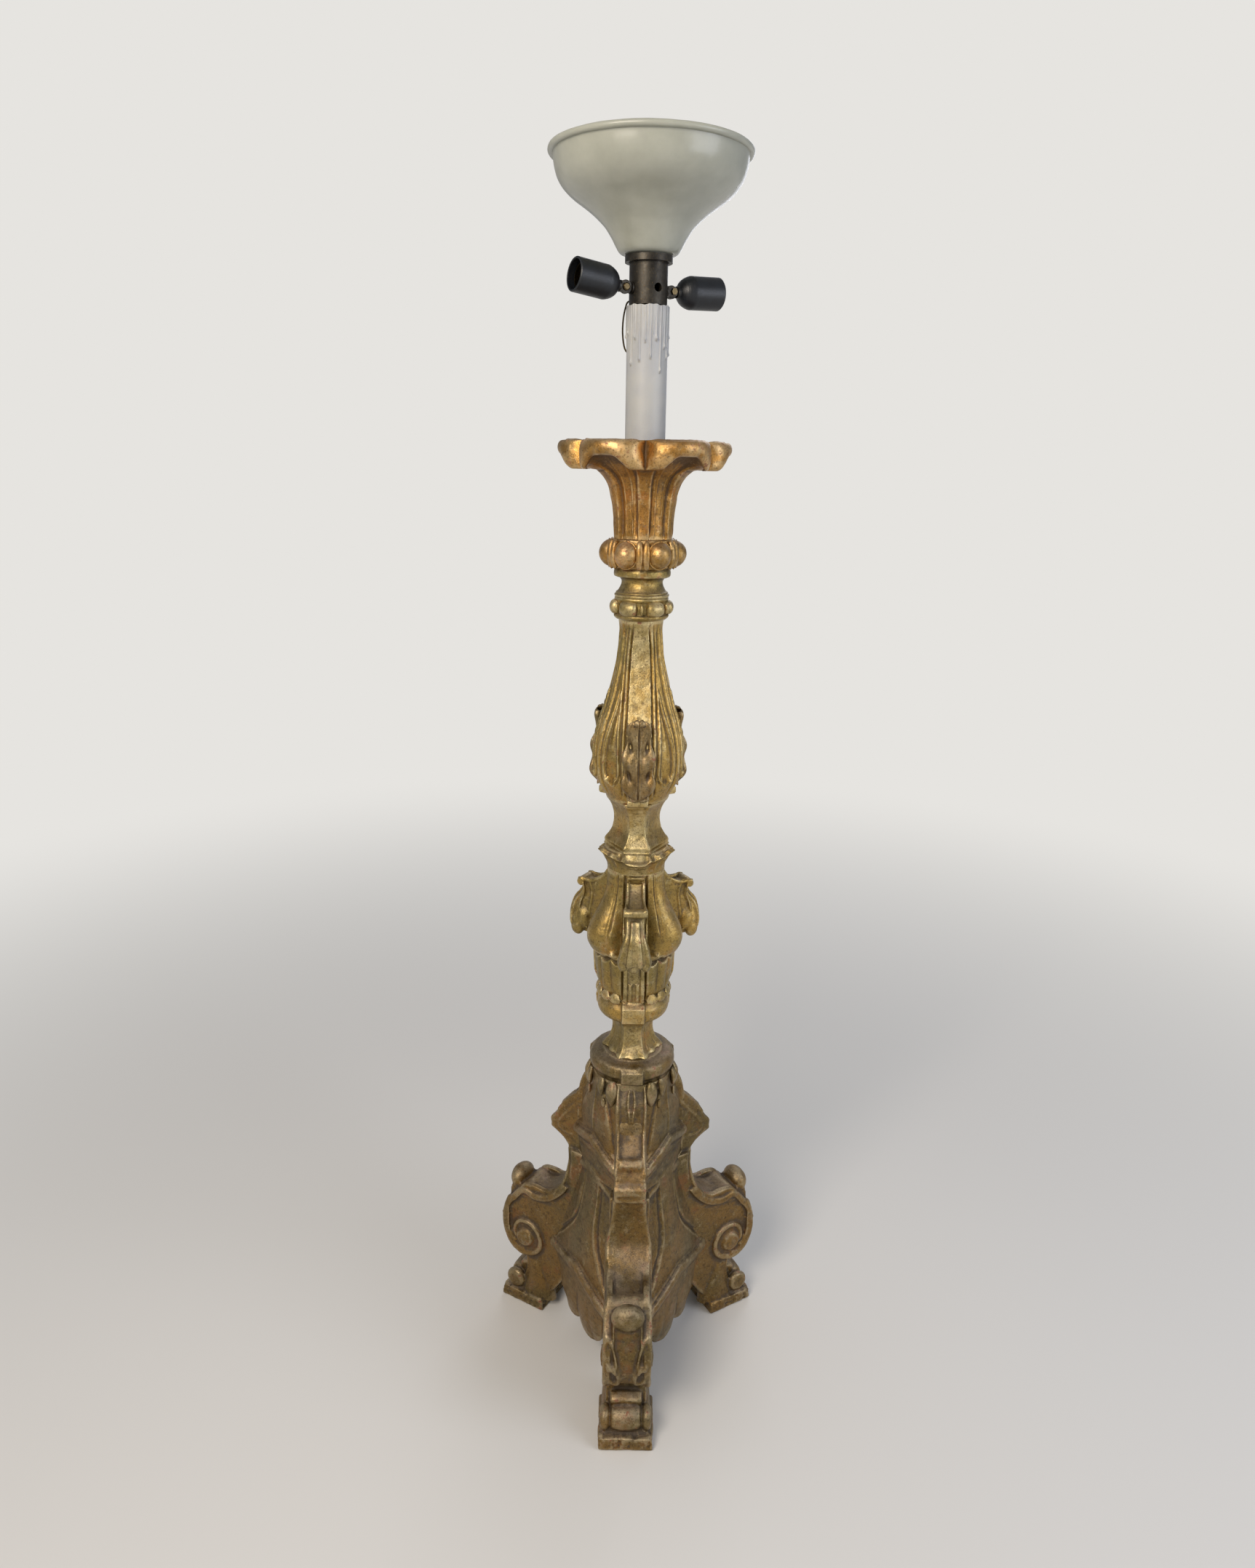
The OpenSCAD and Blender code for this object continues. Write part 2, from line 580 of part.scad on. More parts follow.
module baluster() color(gilt) section(baluster_z, baluster_h) {
    skin([for (f = [0, 0.03, 0.06, 0.1, 0.14, 0.19, 0.23, 0.28, 0.33, 0.38, 0.43, 0.475, 0.5,
        0.52, 0.56, 0.64, 0.74, 0.84, 0.93, 1]) let (
        z = baluster_z + f * baluster_h, r = baluster_body_r(f),
        wide = max(strip_w / 2, leaf_half(f)), proud = leaf_half(f) > 0 ? leaf_relief * ease(0.02, 0.1, f)
            * (1 - 0.25 * ease(0.3, 0.5, f)) : 0,
        edge = asin(wide / r), groove = 2 + 1.5 * ease(0.05, 0.4, f) - 2 * ease(0.8, 1, f))
        ring(3, [polar(0, r * cos(edge) + proud, z), polar(edge * 0.6, r + proud * 0.9, z),
            polar(edge, r + proud * 0.45, z), polar(edge + 1.5, r - groove, z),
            polar(edge + 0.3 * (60 - edge), r, z), polar(edge + 0.42 * (60 - edge), r + 0.5, z),
            polar(edge + 0.5 * (60 - edge), r - groove * 0.8, z),
            polar(edge + 0.78 * (60 - edge), r - 0.5, z), polar(60, r + 0.8, z)])]);
    // Small block under each leaf
    for (a = leg_turns) rotate(a) translate([-15, -baluster_r + 10, baluster_z + 1])
        cube([30, 25, 11]);
}

// ---------- capital and cup ----------

module bead_ring() color(gilt) section(bead_ring_z, bead_ring_h) {
    bead_r = 10.3;
    half = 5.4;
    core = bead_ring_r - 9;
    rotate_extrude() polygon([[0, bead_ring_z], [baluster_neck_r + 5, bead_ring_z],
        [baluster_neck_r + 6, bead_ring_z + 4], [core - 2, bead_ring_z + 6],
        [core, bead_ring_z + bead_ring_h - 6], [core, bead_ring_z + bead_ring_h],
        [0, bead_ring_z + bead_ring_h]]);
    for (k = [0 : 5]) rotate(30 + 60 * k)
        translate([0, bead_r - bead_ring_r, bead_ring_z + bead_ring_h / 2 + 1]) rotate([0, 90, 0]) {
        cylinder(r = bead_r, h = 2 * half, center = true, $fn = 24);
        for (s = [-1, 1]) translate([0, 0, s * half]) sphere(r = bead_r, $fn = 24);
    }
}

module necked_disc() color(gilt) section(disc_z, disc_h) {
    r = disc_r;
    rotate_extrude() polygon(concat([[0, disc_z], [r - 2, disc_z], [r - 2, disc_z + 3]],
        path([[r - 5, disc_z + 4], [r - 9, disc_z + 12], [r - 10, disc_z + 20], [r - 6, disc_z + 25]], 4),
        [[r, disc_z + 27], [r, disc_z + disc_h - 3], [r - 3, disc_z + disc_h], [0, disc_z + disc_h]]));
}

module gadroon_collar() color(gilt) section(gadroon_z, gadroon_h) {
    bead_r = 18;
    reed_r = 5;
    middle = gadroon_z + gadroon_h / 2;
    rotate_extrude() polygon([[0, gadroon_z], [disc_r - 2, gadroon_z], [gadroon_r - 17, gadroon_z + 8],
        [gadroon_r - 14, middle], [gadroon_r - 17, gadroon_z + gadroon_h - 3],
        [cup_foot_r + 1, gadroon_z + gadroon_h], [0, gadroon_z + gadroon_h]]);
    for (k = [0 : 5]) rotate(30 + 60 * k)
        translate([0, bead_r - gadroon_r, middle]) sphere(r = bead_r, $fn = 24);
    for (k = [0 : 5], s = [-1, 1]) rotate(60 * k + 7 * s)
        translate([0, reed_r + 3 - gadroon_r, 0]) {
        translate([0, 0, gadroon_z + 8]) cylinder(r = reed_r, h = gadroon_h - 15, $fn = 24);
        for (z = [gadroon_z + 8, gadroon_z + gadroon_h - 7])
            translate([0, 0, z]) sphere(r = reed_r, $fn = 24);
    }
}

// Cup: u runs from a notch to the middle of a lobe, over 30 degrees
function flare(f) = track([[0, 0], [0.25, 1.5], [0.42, 4.5], [0.55, 9], [0.64, 16], [0.7, 26]], f);
function cup_rim_r(u) = cup_notch_r + (cup_lobe_r - cup_notch_r) * pow(sin(90 * u), 0.6);
function lip_low(u) = 36 - 21 * pow(sin(90 * u), 0.8);

module cup() color(gilt_orange) section(cup_z, cup_h - pan_depth, false) {
    us = [0, 0.16, 0.28, 0.45, 0.64, 0.82, 1];
    strip = [1, 1, 0, 0, 0, 0, 0];
    body = [for (f = [0, 0.15, 0.3, 0.42, 0.5, 0.58, 0.64, 0.7]) ring(6, [for (i = [0 : 6])
        let (u = us[i], r = cup_foot_r + flare(f) - (1 - strip[i]) * (3 + 5 * f) * sin(90 * u))
        polar(30 * u, r, cup_z + f * cup_h)])];
    // Underside of the lobes, the rolled lip and the drip pan inside it
    lip = [for (s = [[-14, -1, 0.4], [-4, 0, 0], [0, 0, 0.45], [-3, 0, 0.85], [-9, 0, 1]])
        ring(6, [for (u = us) let (low = lip_low(u), r = cup_rim_r(u))
            polar(30 * u, r + s[0], s[1] == -1 ? lip_z - low + 3 : lip_z - low * (1 - s[2]))])];
    pan = [for (s = [[-20, -3], [-34, -pan_depth * 0.7], [-52, -pan_depth]])
        ring(6, [for (u = us) polar(30 * u, cup_rim_r(u) + s[0], lip_z + s[1])])];
    skin(concat(body, lip, pan));
}

// ---------- lamp tube, sleeve and cluster ----------

tube_foot = apron_gap + recess_h - 22;
tube_top = cluster_z + 17;
nut_h = 5;
washer_t = 1.5;

module tube_at(z, h, outer, bore) translate([0, 0, z]) difference() {
    cylinder(r = outer, h = h);
    translate([0, 0, -1]) cylinder(r = bore, h = h + 2);
}

module lamp_tube() color(steel) tube_at(tube_foot, tube_top - tube_foot, tube_r, tube_bore_r);

module hex_nut(z) translate([0, 0, z]) difference() {
    linear_extrude(nut_h) polygon([for (a = [0 : 60 : 300]) 8 * [cos(a), sin(a)]]);
    translate([0, 0, -1]) cylinder(r = tube_r + glue_gap, h = nut_h + 2);
}

module tube_nuts() color(brass) {
    hex_nut(apron_gap + recess_h - washer_t - nut_h);
    hex_nut(pan_z + washer_t);
    hex_nut(cluster_z + cluster_wall + washer_t);
}

module tube_washers() color(steel) {
    for (z = [apron_gap + recess_h - washer_t, pan_z, cluster_z + cluster_wall])
        tube_at(z, washer_t, 12, tube_r + glue_gap);
}

lead_r = 1.1;
lead_az = -103;
lead_in = cluster_z - 55;

// Wax runs down the sleeve: azimuth and length
wax_runs = [[-83, 40], [-66, 34], [-50, 70], [-36, 41], [-22, 66], [-6, 43], [9, 63], [25, 42], [38, 78],
    [52, 50], [65, 63], [80, 39], [95, 58], [112, 44], [130, 71], [148, 40], [165, 60], [182, 47],
    [199, 66], [217, 42], [236, 57]];

module candle_sleeve() color(wax) {
    h = cluster_z - pan_z;
    difference() {
        union() {
            translate([0, 0, pan_z]) cylinder(r = candle_r, h = h);
            for (w = wax_runs) rotate(w[0]) translate([0, -candle_r + 0.3, cluster_z - w[1]]) {
                cylinder(r = 2.1, h = w[1] - 4, $fn = 16);
                sphere(r = 2.4, $fn = 16);
                translate([0, 0, w[1] - 4]) sphere(r = 2.1, $fn = 16);
            }
        }
        translate([0, 0, pan_z - 1]) cylinder(r = candle_r - candle_wall, h = h + 2);
        rotate(lead_az) translate([0, 0, lead_in]) rotate([90, 0, 0]) cylinder(r = 2.6, h = 2 * candle_r);
    }
}

// Direction of an arm: +X runs outward along it
module arm(az) rotate(az - 90) translate([0, 0, arm_level]) children();

module cluster_body() color(patina) {
    boss = 4;
    difference() {
        union() {
            difference() {
                translate([0, 0, cluster_z]) cylinder(r = cluster_r, h = cluster_h);
                translate([0, 0, cluster_z + cluster_wall])
                    cylinder(r = cluster_r - cluster_wall, h = cluster_h - 2 * cluster_wall);
            }
            for (az = [left_az, spare_az, right_az]) arm(az)
                translate([cluster_r - cluster_wall - boss, 0, 0]) rotate([0, 90, 0])
                cylinder(r = arm_hole_r + 2.5, h = boss + 1);
        }
        for (az = [left_az, spare_az, right_az]) arm(az) rotate([0, 90, 0])
            cylinder(r = arm_hole_r, h = 2 * cluster_r);
        translate([0, 0, cluster_z - 1]) cylinder(r = tube_r + glue_gap, h = cluster_wall + 2);
        translate([0, 0, gallery_z - cluster_wall - 1]) cylinder(r = tube_r, h = cluster_wall + 2);
        rotate(lead_az) translate([0, 0, cluster_z + 6]) rotate([90, 0, 0])
            cylinder(r = 2.4, h = 2 * cluster_r);
    }
}

// Bare lead that bows out of the cluster and back into the sleeve
module cluster_lead() color(brass) {
    line = path([[cluster_r - 4, 61], [cluster_r + 1, 60.5], [cluster_r + 4.2, 56], [candle_r + 5.4, 41],
        [candle_r + 6.2, 24], [candle_r + 4, 8], [candle_r, 0.6], [candle_r - 6, 0]], 3);
    last = len(line) - 1;
    rotate(lead_az - 90) skin([for (i = [0 : last]) let (
        t = line[min(i + 1, last)] - line[max(i - 1, 0)], d = t / norm(t), p = line[i])
        [for (a = [0 : 45 : 315]) [p[0] - lead_r * sin(a) * d[1], lead_r * cos(a),
            lead_in + p[1] + lead_r * sin(a) * d[0]]]]);
}

// ---------- uplight bowl ----------

nipple_r = tube_r - glue_gap;
module bowl_gallery() color(patina) difference() {
    union() {
        translate([0, 0, gallery_z]) cylinder(r = gallery_r, h = gallery_h);
        translate([0, 0, gallery_z - 10]) cylinder(r = nipple_r, h = 11);
    }
    translate([0, 0, bowl_z]) cylinder(r = bowl_neck_r + bowl_wall + 0.4, h = gallery_h);
    translate([0, 0, gallery_z - 11]) cylinder(r = tube_bore_r - 0.5, h = 20);
    // Undercut that leaves a shadow line above the cluster
    translate([0, 0, gallery_z - 1]) difference() {
        cylinder(r = gallery_r + 1, h = 2);
        translate([0, 0, -1]) cylinder(r = cluster_r + 1, h = 4);
    }
}

module bowl() color(opal) {
    b = bowl_r;
    foot = bowl_neck_r + bowl_wall;
    outer = concat([[foot, 0], [foot, 6.6]],
        path([[foot + 5.5, 7.2], [foot + 10, 10], [foot + 14, 16.5], [b - 76, 24], [b - 71.5, 31],
            [b - 66, 38.5], [b - 58, 46.5], [b - 48, 55], [b - 37, 63], [b - 26, 70.5], [b - 17, 78],
            [b - 11, 85], [b - 7, 92], [b - 4.5, 99], [b - 3, 106], [b - 2, 113],
            [b, bowl_h - 3]], 2));
    translate([0, 0, bowl_z]) rotate_extrude($fn = 96) {
        polygon(concat(outer, backwards(beside(outer, -bowl_wall))));
        translate([b + 0.6, bowl_h - bowl_bead_r]) circle(r = bowl_bead_r, $fn = 24);
    }
}

// ---------- tilting lamp holders ----------

fixed_ear_r = ear_r - 2;
cap_back = ear_r + 0.6;
plate_t = 2.2;
pin_head = 2;
nipple_l = 7;

// Frame of a tilted holder: +X along the holder, origin at the pin
module tilted(az, tilt) arm(az) translate([pin_reach, 0, 0]) rotate([0, -tilt, 0]) children();

module round_along_x(x, r, h) translate([x, 0, 0]) rotate([0, 90, 0]) cylinder(r = r, h = h);
module round_along_y(y, r, h) translate([0, y, 0]) rotate([-90, 0, 0]) cylinder(r = r, h = h);

// Fixed half: nipple in the cluster wall, collar and ear
module knuckle(az) color(patina) arm(az) difference() {
    seat = cluster_r + glue_gap;
    union() {
        round_along_x(cluster_r - cluster_wall - 4, arm_hole_r - 0.1, 8);
        round_along_x(seat, 7.4, 2);
        translate([seat, -ear_t - ear_gap / 2, -fixed_ear_r])
            cube([pin_reach - seat, ear_t, 2 * fixed_ear_r]);
        translate([pin_reach, 0, 0]) round_along_y(-ear_t - ear_gap / 2, fixed_ear_r, ear_t);
    }
    round_along_x(cluster_r - 10, 2, 14);
    translate([pin_reach, 0, 0]) round_along_y(-ear_t - 1, pin_r + pin_gap, 2 * ear_t);
}

// Pin with a domed head over the moving ear and a nut over the fixed one
module tilt_pin(az) color(brass) arm(az) translate([pin_reach, 0, 0]) {
    near = ear_t + 1.5 * ear_gap;
    round_along_y(-near - pin_head, pin_r, 2 * (near + pin_head));
    round_along_y(near, 4.6, pin_head);
    translate([0, near + pin_head, 0]) rotate([-90, 0, 0]) cylinder(r1 = 4.6, r2 = 3.4, h = 0.8);
    translate([0, -near, 0]) rotate([90, 0, 0]) linear_extrude(pin_head + 0.5)
        polygon([for (a = [0 : 60 : 300]) 4.2 * [cos(a), sin(a)]]);
}

// Moving half: ear, plate and nipple that carries the holder
module swivel(az, tilt) color(patina) tilted(az, tilt) difference() {
    union() {
        round_along_y(ear_gap / 2, ear_r, ear_t);
        translate([0, ear_gap / 2, -ear_r + 2]) cube([cap_back - 1, ear_t, 2 * ear_r - 4]);
        round_along_x(cap_back - plate_t, 7, plate_t);
        round_along_x(cap_back - 1, nipple_r, nipple_l);
    }
    round_along_y(-1, pin_r + pin_gap, ear_t + 3);
    round_along_x(cap_back - plate_t + 0.8, 2.4, nipple_l + plate_t);
}

// Cap, skirt, shell and contact block turned about +Z from the back of the cap
module cap_turned() {
    r = holder_r;
    w = holder_wall;
    difference() {
        rotate_extrude() polygon(concat([[nipple_r + glue_gap, 0], [7, 0], [7.4, 1.6]],
            path([[9.4, 2.6], [13.6, 5.6], [17, 10], [19.4, 15.6], [r, cap_l - 3], [r, cap_l]], 2),
            [[r - w, cap_l], [r - w, 13.5], [13, 8.6], [9, 5.8], [nipple_r + glue_gap, 5]]));
    }
}
module skirt_turned() {
    r = holder_r;
    in = r - holder_wall;
    rotate_extrude() polygon([[in - 2.4, cap_l - 5], [in - glue_gap, cap_l - 5], [in - glue_gap, cap_l],
        [r, cap_l], [r, cap_l + skirt_l - 1], [r - 0.8, cap_l + skirt_l], [in + 0.3, cap_l + skirt_l],
        [in, cap_l + skirt_l - 0.6], [in, cap_l + 3], [in - 2.4, cap_l + 3]]);
}
module shell_turned() translate([0, 0, cap_l + 6]) rotate_extrude()
    polygon([[shell_r, 0], [shell_r + shell_wall, 0], [shell_r + shell_wall, shell_l - 1.5],
        [shell_r + shell_wall + 1, shell_l], [shell_r, shell_l]]);
module block_turned() {
    in = holder_r - holder_wall;
    rotate_extrude() polygon([[0, cap_l - 5], [in - 2.5, cap_l - 5], [in - 2.5, cap_l + 3],
        [in - glue_gap, cap_l + 3], [in - glue_gap, cap_l + 6], [shell_r - 0.9, cap_l + 6],
        [shell_r - 0.9, cap_l + 3], [3, cap_l + 3], [3, cap_l + 5.5], [0, cap_l + 5.5]]);
}
module on_arm(az, tilt) tilted(az, tilt) translate([cap_back, 0, 0]) rotate([0, 90, 0]) children();
module on_gallery() translate([0, 0, bowl_z]) children();

module left_knuckle() knuckle(left_az);
module left_tilt_pin() tilt_pin(left_az);
module left_swivel() swivel(left_az, left_tilt);
module left_holder_cap() color(bakelite) on_arm(left_az, left_tilt) cap_turned();
module left_holder_skirt() color(bakelite) on_arm(left_az, left_tilt) skirt_turned();
module left_thread_shell() color(brass) on_arm(left_az, left_tilt) shell_turned();
module left_contact_block() color(wax) on_arm(left_az, left_tilt) block_turned();

module right_knuckle() knuckle(right_az);
module right_tilt_pin() tilt_pin(right_az);
module right_swivel() swivel(right_az, right_tilt);
module right_holder_cap() color(bakelite) on_arm(right_az, right_tilt) cap_turned();
module right_holder_skirt() color(bakelite) on_arm(right_az, right_tilt) skirt_turned();
module right_thread_shell() color(brass) on_arm(right_az, right_tilt) shell_turned();
module right_contact_block() color(wax) on_arm(right_az, right_tilt) block_turned();

module bowl_holder_cap() color(bakelite) on_gallery() cap_turned();
module bowl_holder_skirt() color(bakelite) on_gallery() skirt_turned();
module bowl_thread_shell() color(brass) on_gallery() shell_turned();
module bowl_contact_block() color(wax) on_gallery() block_turned();

// ---------- draw ----------

base_body();
leg_front();
leg_right();
leg_left();
base_collar();
lower_neck();
lower_ring();
vase();
vase_bracket_front();
vase_bracket_right();
vase_bracket_left();
ruffle_collar();
spool();
baluster();
bead_ring();
necked_disc();
gadroon_collar();
cup();
lamp_tube();
tube_nuts();
tube_washers();
cable_bush();
candle_sleeve();
cluster_body();
cluster_lead();
bowl_gallery();
bowl();
left_knuckle();
left_tilt_pin();
left_swivel();
left_holder_cap();
left_holder_skirt();
left_thread_shell();
left_contact_block();
right_knuckle();
right_tilt_pin();
right_swivel();
right_holder_cap();
right_holder_skirt();
right_thread_shell();
right_contact_block();
bowl_holder_cap();
bowl_holder_skirt();
bowl_thread_shell();
bowl_contact_block();
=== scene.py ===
"""Carved giltwood torchere candlestick on three scroll legs, wired as a floor lamp.

Lengths are millimetres in this file and become metres where a mesh is made. The origin is on
the floor under the stem, +Z is up, the front leg points along -Y, and azimuths are counted
from -Y, anticlockwise seen from above. The carved sections repeat every 120 degrees.
"""
import json
import math

import bpy
import numpy as np
from mathutils import Matrix, Vector


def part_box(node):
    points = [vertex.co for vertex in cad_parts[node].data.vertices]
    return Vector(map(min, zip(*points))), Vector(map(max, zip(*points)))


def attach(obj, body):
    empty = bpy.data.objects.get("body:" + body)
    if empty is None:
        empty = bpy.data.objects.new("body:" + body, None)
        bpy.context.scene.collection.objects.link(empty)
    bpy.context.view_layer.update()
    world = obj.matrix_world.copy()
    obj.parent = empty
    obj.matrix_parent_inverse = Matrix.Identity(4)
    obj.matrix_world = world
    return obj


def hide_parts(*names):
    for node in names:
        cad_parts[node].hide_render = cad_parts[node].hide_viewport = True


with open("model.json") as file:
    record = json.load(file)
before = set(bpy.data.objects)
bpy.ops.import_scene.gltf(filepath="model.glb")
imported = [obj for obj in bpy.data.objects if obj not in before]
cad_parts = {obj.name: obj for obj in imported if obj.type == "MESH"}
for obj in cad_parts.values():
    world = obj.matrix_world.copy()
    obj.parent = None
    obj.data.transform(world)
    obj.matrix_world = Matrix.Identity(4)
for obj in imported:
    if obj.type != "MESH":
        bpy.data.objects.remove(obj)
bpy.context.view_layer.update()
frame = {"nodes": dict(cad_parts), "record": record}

MM = 0.001
SIDES = {"front": 0, "right": 120, "left": 240}   # azimuths of the legs and the brackets
ACROSS, ALONG, UP = (1.0, 0.0, 0.0), (0.0, 1.0, 0.0), (0.0, 0.0, 1.0)   # axes at the front leg


def placed(name, data):
    """An object at the origin that shows this data."""
    made = bpy.data.objects.new(name, data)
    bpy.context.scene.collection.objects.link(made)
    return made


# ---------- camera ----------
# The photograph is 1725 x 2156 and was taken 1.45 m from the stem, from 1.43 m up, looking
# 17 degrees down with a slight roll.
CAMERA_AT = (-14.79, -1450.0, 1428.25)
CAMERA_PITCH = 17.088                   # degrees down
CAMERA_ROLL = 0.01837                   # radians
CAMERA_LENS, SENSOR_HEIGHT = 24.09, 36.0
CLIP_NEAR, CLIP_FAR = 0.01, 50.0        # metres

camera = placed("camera", bpy.data.cameras.new("camera"))
camera.data.sensor_fit = "VERTICAL"
camera.data.sensor_height = SENSOR_HEIGHT
camera.data.lens = CAMERA_LENS
camera.data.clip_start = CLIP_NEAR
camera.data.clip_end = CLIP_FAR
camera.matrix_world = (
    Matrix.Translation([c * MM for c in CAMERA_AT])
    @ Matrix.Rotation(math.radians(90 - CAMERA_PITCH), 4, "X")
    @ Matrix.Rotation(CAMERA_ROLL, 4, "Z")
)
bpy.context.scene.camera = camera

# ---------- sizes from the frame, in mm ----------


def level(name, top=False):
    """Height of the foot or the top of a node."""
    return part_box(name)[1 if top else 0].z / MM


APRON = level("base_body")
COLLAR = level("base_collar")
BASE_H = COLLAR - APRON
NECK = level("lower_neck")
LOWER_RING = level("lower_ring")
VASE = level("vase")
RUFFLE = level("ruffle_collar")
SPOOL = level("spool")
BALUSTER = level("baluster")
BEADS = level("bead_ring")
DISC = level("necked_disc")
GADROON = level("gadroon_collar")
CUP = level("cup")
LIP = level("cup", True)
PAN = level("candle_sleeve")
CLUSTER = level("cluster_body")
BOWL = level("bowl")

# ---------- curves and steps ----------


def ease(a, b, u):
    """Smooth step: 0 up to a, 1 from b, and 3t^2 - 2t^3 between them."""
    t = np.clip((np.asarray(u, float) - a) / (b - a), 0, 1)
    return t * t * (3 - 2 * t)


def hump(a, b, c, d, u):
    """Rises from a to b, stays at 1, and falls from c to d."""
    return ease(a, b, u) - ease(c, d, u)


def bell(x, width):
    """Bell curve of a ridge or a groove: e to the power -(x / width)^2."""
    return np.exp(-((x / width) ** 2))


def dome(x):
    """Half circle over -1..1: the square root of 1 - x^2, and 0 outside."""
    return np.sqrt(np.clip(1 - np.asarray(x, float) ** 2, 0, 1))


def track(stations, u):
    """Smooth curve through [u, value] stations: cubic Hermite spans with slopes from the neighbours."""
    s = np.array(stations, float)
    u = np.clip(np.asarray(u, float), s[0, 0], s[-1, 0])
    slope = np.gradient(s[:, 1], s[:, 0])
    slope[1:-1] = (s[2:, 1] - s[:-2, 1]) / (s[2:, 0] - s[:-2, 0])
    i = np.clip(np.searchsorted(s[:, 0], u, "right") - 1, 0, len(s) - 2)
    h = s[i + 1, 0] - s[i, 0]
    t = (u - s[i, 0]) / h
    return (
        (2 * t**3 - 3 * t**2 + 1) * s[i, 1]
        + (t**3 - 2 * t**2 + t) * h * slope[i]
        + (3 * t**2 - 2 * t**3) * s[i + 1, 1]
        + (t**3 - t**2) * h * slope[i + 1]
    )


def path(points, n):
    """Catmull-Rom curve through points of any dimension, n steps to a span."""
    p = np.array(points, float)
    padded = np.vstack([p[:1], p, p[-1:]])
    t = (np.arange(n) / n)[None, :, None]
    a, b, c, d = (padded[k : k + len(p) - 1, None] for k in range(4))
    spans = 0.5 * (
        2 * b + (c - a) * t + (2 * a - 5 * b + 4 * c - d) * t**2 + (3 * b - a - 3 * c + d) * t**3
    )
    return np.vstack([spans.reshape(-1, p.shape[1]), p[-1:]])


def evenly(line, count):
    """The same line with its points spaced evenly along its length."""
    line = np.asarray(line, float)
    run = np.concatenate([[0], np.cumsum(np.linalg.norm(np.diff(line, axis=0), axis=1))])
    at = np.linspace(0, run[-1], count)
    return np.stack([np.interp(at, run, line[:, k]) for k in range(line.shape[1])], 1)


def unit(vectors):
    """The vectors along the last axis, each made one long."""
    return vectors / np.maximum(np.linalg.norm(vectors, axis=-1, keepdims=True), 1e-12)


def right_of(line):
    """Unit normals of a plane line, to the right of its run."""
    t = unit(np.gradient(line, axis=0))
    return np.stack([t[:, 1], -t[:, 0]], 1)


def beside(line, w):
    """A plane line moved to its right by w, which may be one width for each point."""
    return line + np.reshape(w, (-1, 1)) * right_of(line)


def polar(az, r, z):
    """Points at azimuths (degrees), radii and heights."""
    az = np.radians(az)
    r, z, az = np.broadcast_arrays(r, z, az)
    return np.stack([r * np.sin(az), -r * np.cos(az), z], -1)


def azimuth_of(points):
    """Azimuth of each point, in degrees."""
    return np.degrees(np.arctan2(points[:, 0], -points[:, 1]))


def from_strap(az):
    """Azimuth counted from the nearest strap, 0 to 60 degrees."""
    return np.abs((az + 60) % 120 - 60)


def turned(points, az):
    """Points turned about the stem by az degrees."""
    c, s = math.cos(math.radians(az)), math.sin(math.radians(az))
    x, y, z = np.moveaxis(points, -1, 0)
    return np.stack([x * c - y * s, x * s + y * c, z], -1)


def across_at(az):
    """Level unit vector square to the radius at an azimuth."""
    return turned(np.array(ACROSS), az)


def tool_marks(points, seed, depth=0.3):
    """Carver's unevenness in mm: a sum of slow sine waves across the piece, from a seed."""
    rng = np.random.default_rng(seed)
    out = np.zeros(points.shape[:-1])
    for length in (95.0, 61.0, 37.0, 24.0, 15.0, 9.0):
        for _ in range(2):
            way = rng.normal(size=3)
            way /= np.linalg.norm(way)
            turn = rng.uniform(0, 2 * np.pi)
            out += np.sin(points @ way * (2 * np.pi / length) + turn) * (length / 95) ** 0.5
    return out * depth / 2.4


# ---------- meshes ----------
STRAP_HIGHLIGHT_HALF = 15.5     # half width of the painted highlight on the front of a strap


def net(rows, columns, tube=False):
    """Numbers of a grid's points, and its four-cornered faces. The columns close on themselves,
    and in a tube the rows do so too."""
    index = np.arange(rows * columns).reshape(rows, columns)
    low = index if tube else index[:-1]
    high = np.roll(index, -1, 0)[: len(low)]
    return index, np.stack([low, np.roll(low, -1, 1), np.roll(high, -1, 1), high], -1).reshape(-1, 4)


def skin(grid, caps=True):
    """A grid of points, rows x columns, whose columns close on themselves, as a shell (points,
    faces). Caps close its first and last row with a fan to their middle."""
    index, faces = net(*grid.shape[:2])
    points, faces = [grid.reshape(-1, 3)], faces.tolist()
    if caps:
        foot, head = (list(zip(row.tolist(), np.roll(row, -1).tolist())) for row in index[[0, -1]])
        faces += [[j, i, index.size] for i, j in foot]
        faces += [[i, j, index.size + 1] for i, j in head]
        points += [grid[0].mean(0)[None], grid[-1].mean(0)[None]]
    return np.vstack(points), faces


def backwards(faces):
    """The faces turned over, each with the same first corner."""
    return faces[:, [0, 3, 2, 1]]


def joined(shells):
    """Several shells as one list of points and faces."""
    points, faces, start = [], [], 0
    for p, f in shells:
        points.append(p)
        faces += [[i + start for i in face] for face in f]
        start += len(p)
    return np.vstack(points), faces


def mesh_of(name, points, faces):
    """A mesh in metres from points in millimetres."""
    made = bpy.data.meshes.new(name)
    faces = faces.tolist() if isinstance(faces, np.ndarray) else faces
    made.from_pydata((points * MM).tolist(), [], faces)
    return made


def melted(shells, voxel):
    """Closed shells that overlap, melted into one outer skin on a voxel grid of the given size in
    mm, as a carver works separate masses into one surface."""
    mesh = mesh_of("melting", *joined(shells))
    piece = placed("melting", mesh)
    remesh = piece.modifiers.new("voxels", "REMESH")
    remesh.mode = "VOXEL"
    remesh.voxel_size = voxel * MM
    solid = piece.evaluated_get(bpy.context.evaluated_depsgraph_get())
    done = solid.to_mesh()
    out = np.zeros(len(done.vertices) * 3, np.float32)
    done.vertices.foreach_get("co", out)
    corners = np.zeros(len(done.loops), np.int32)
    done.loops.foreach_get("vertex_index", corners)
    solid.to_mesh_clear()
    bpy.data.objects.remove(piece)
    bpy.data.meshes.remove(mesh)
    return out.reshape(-1, 3).astype(float) / MM, corners.reshape(-1, 4)


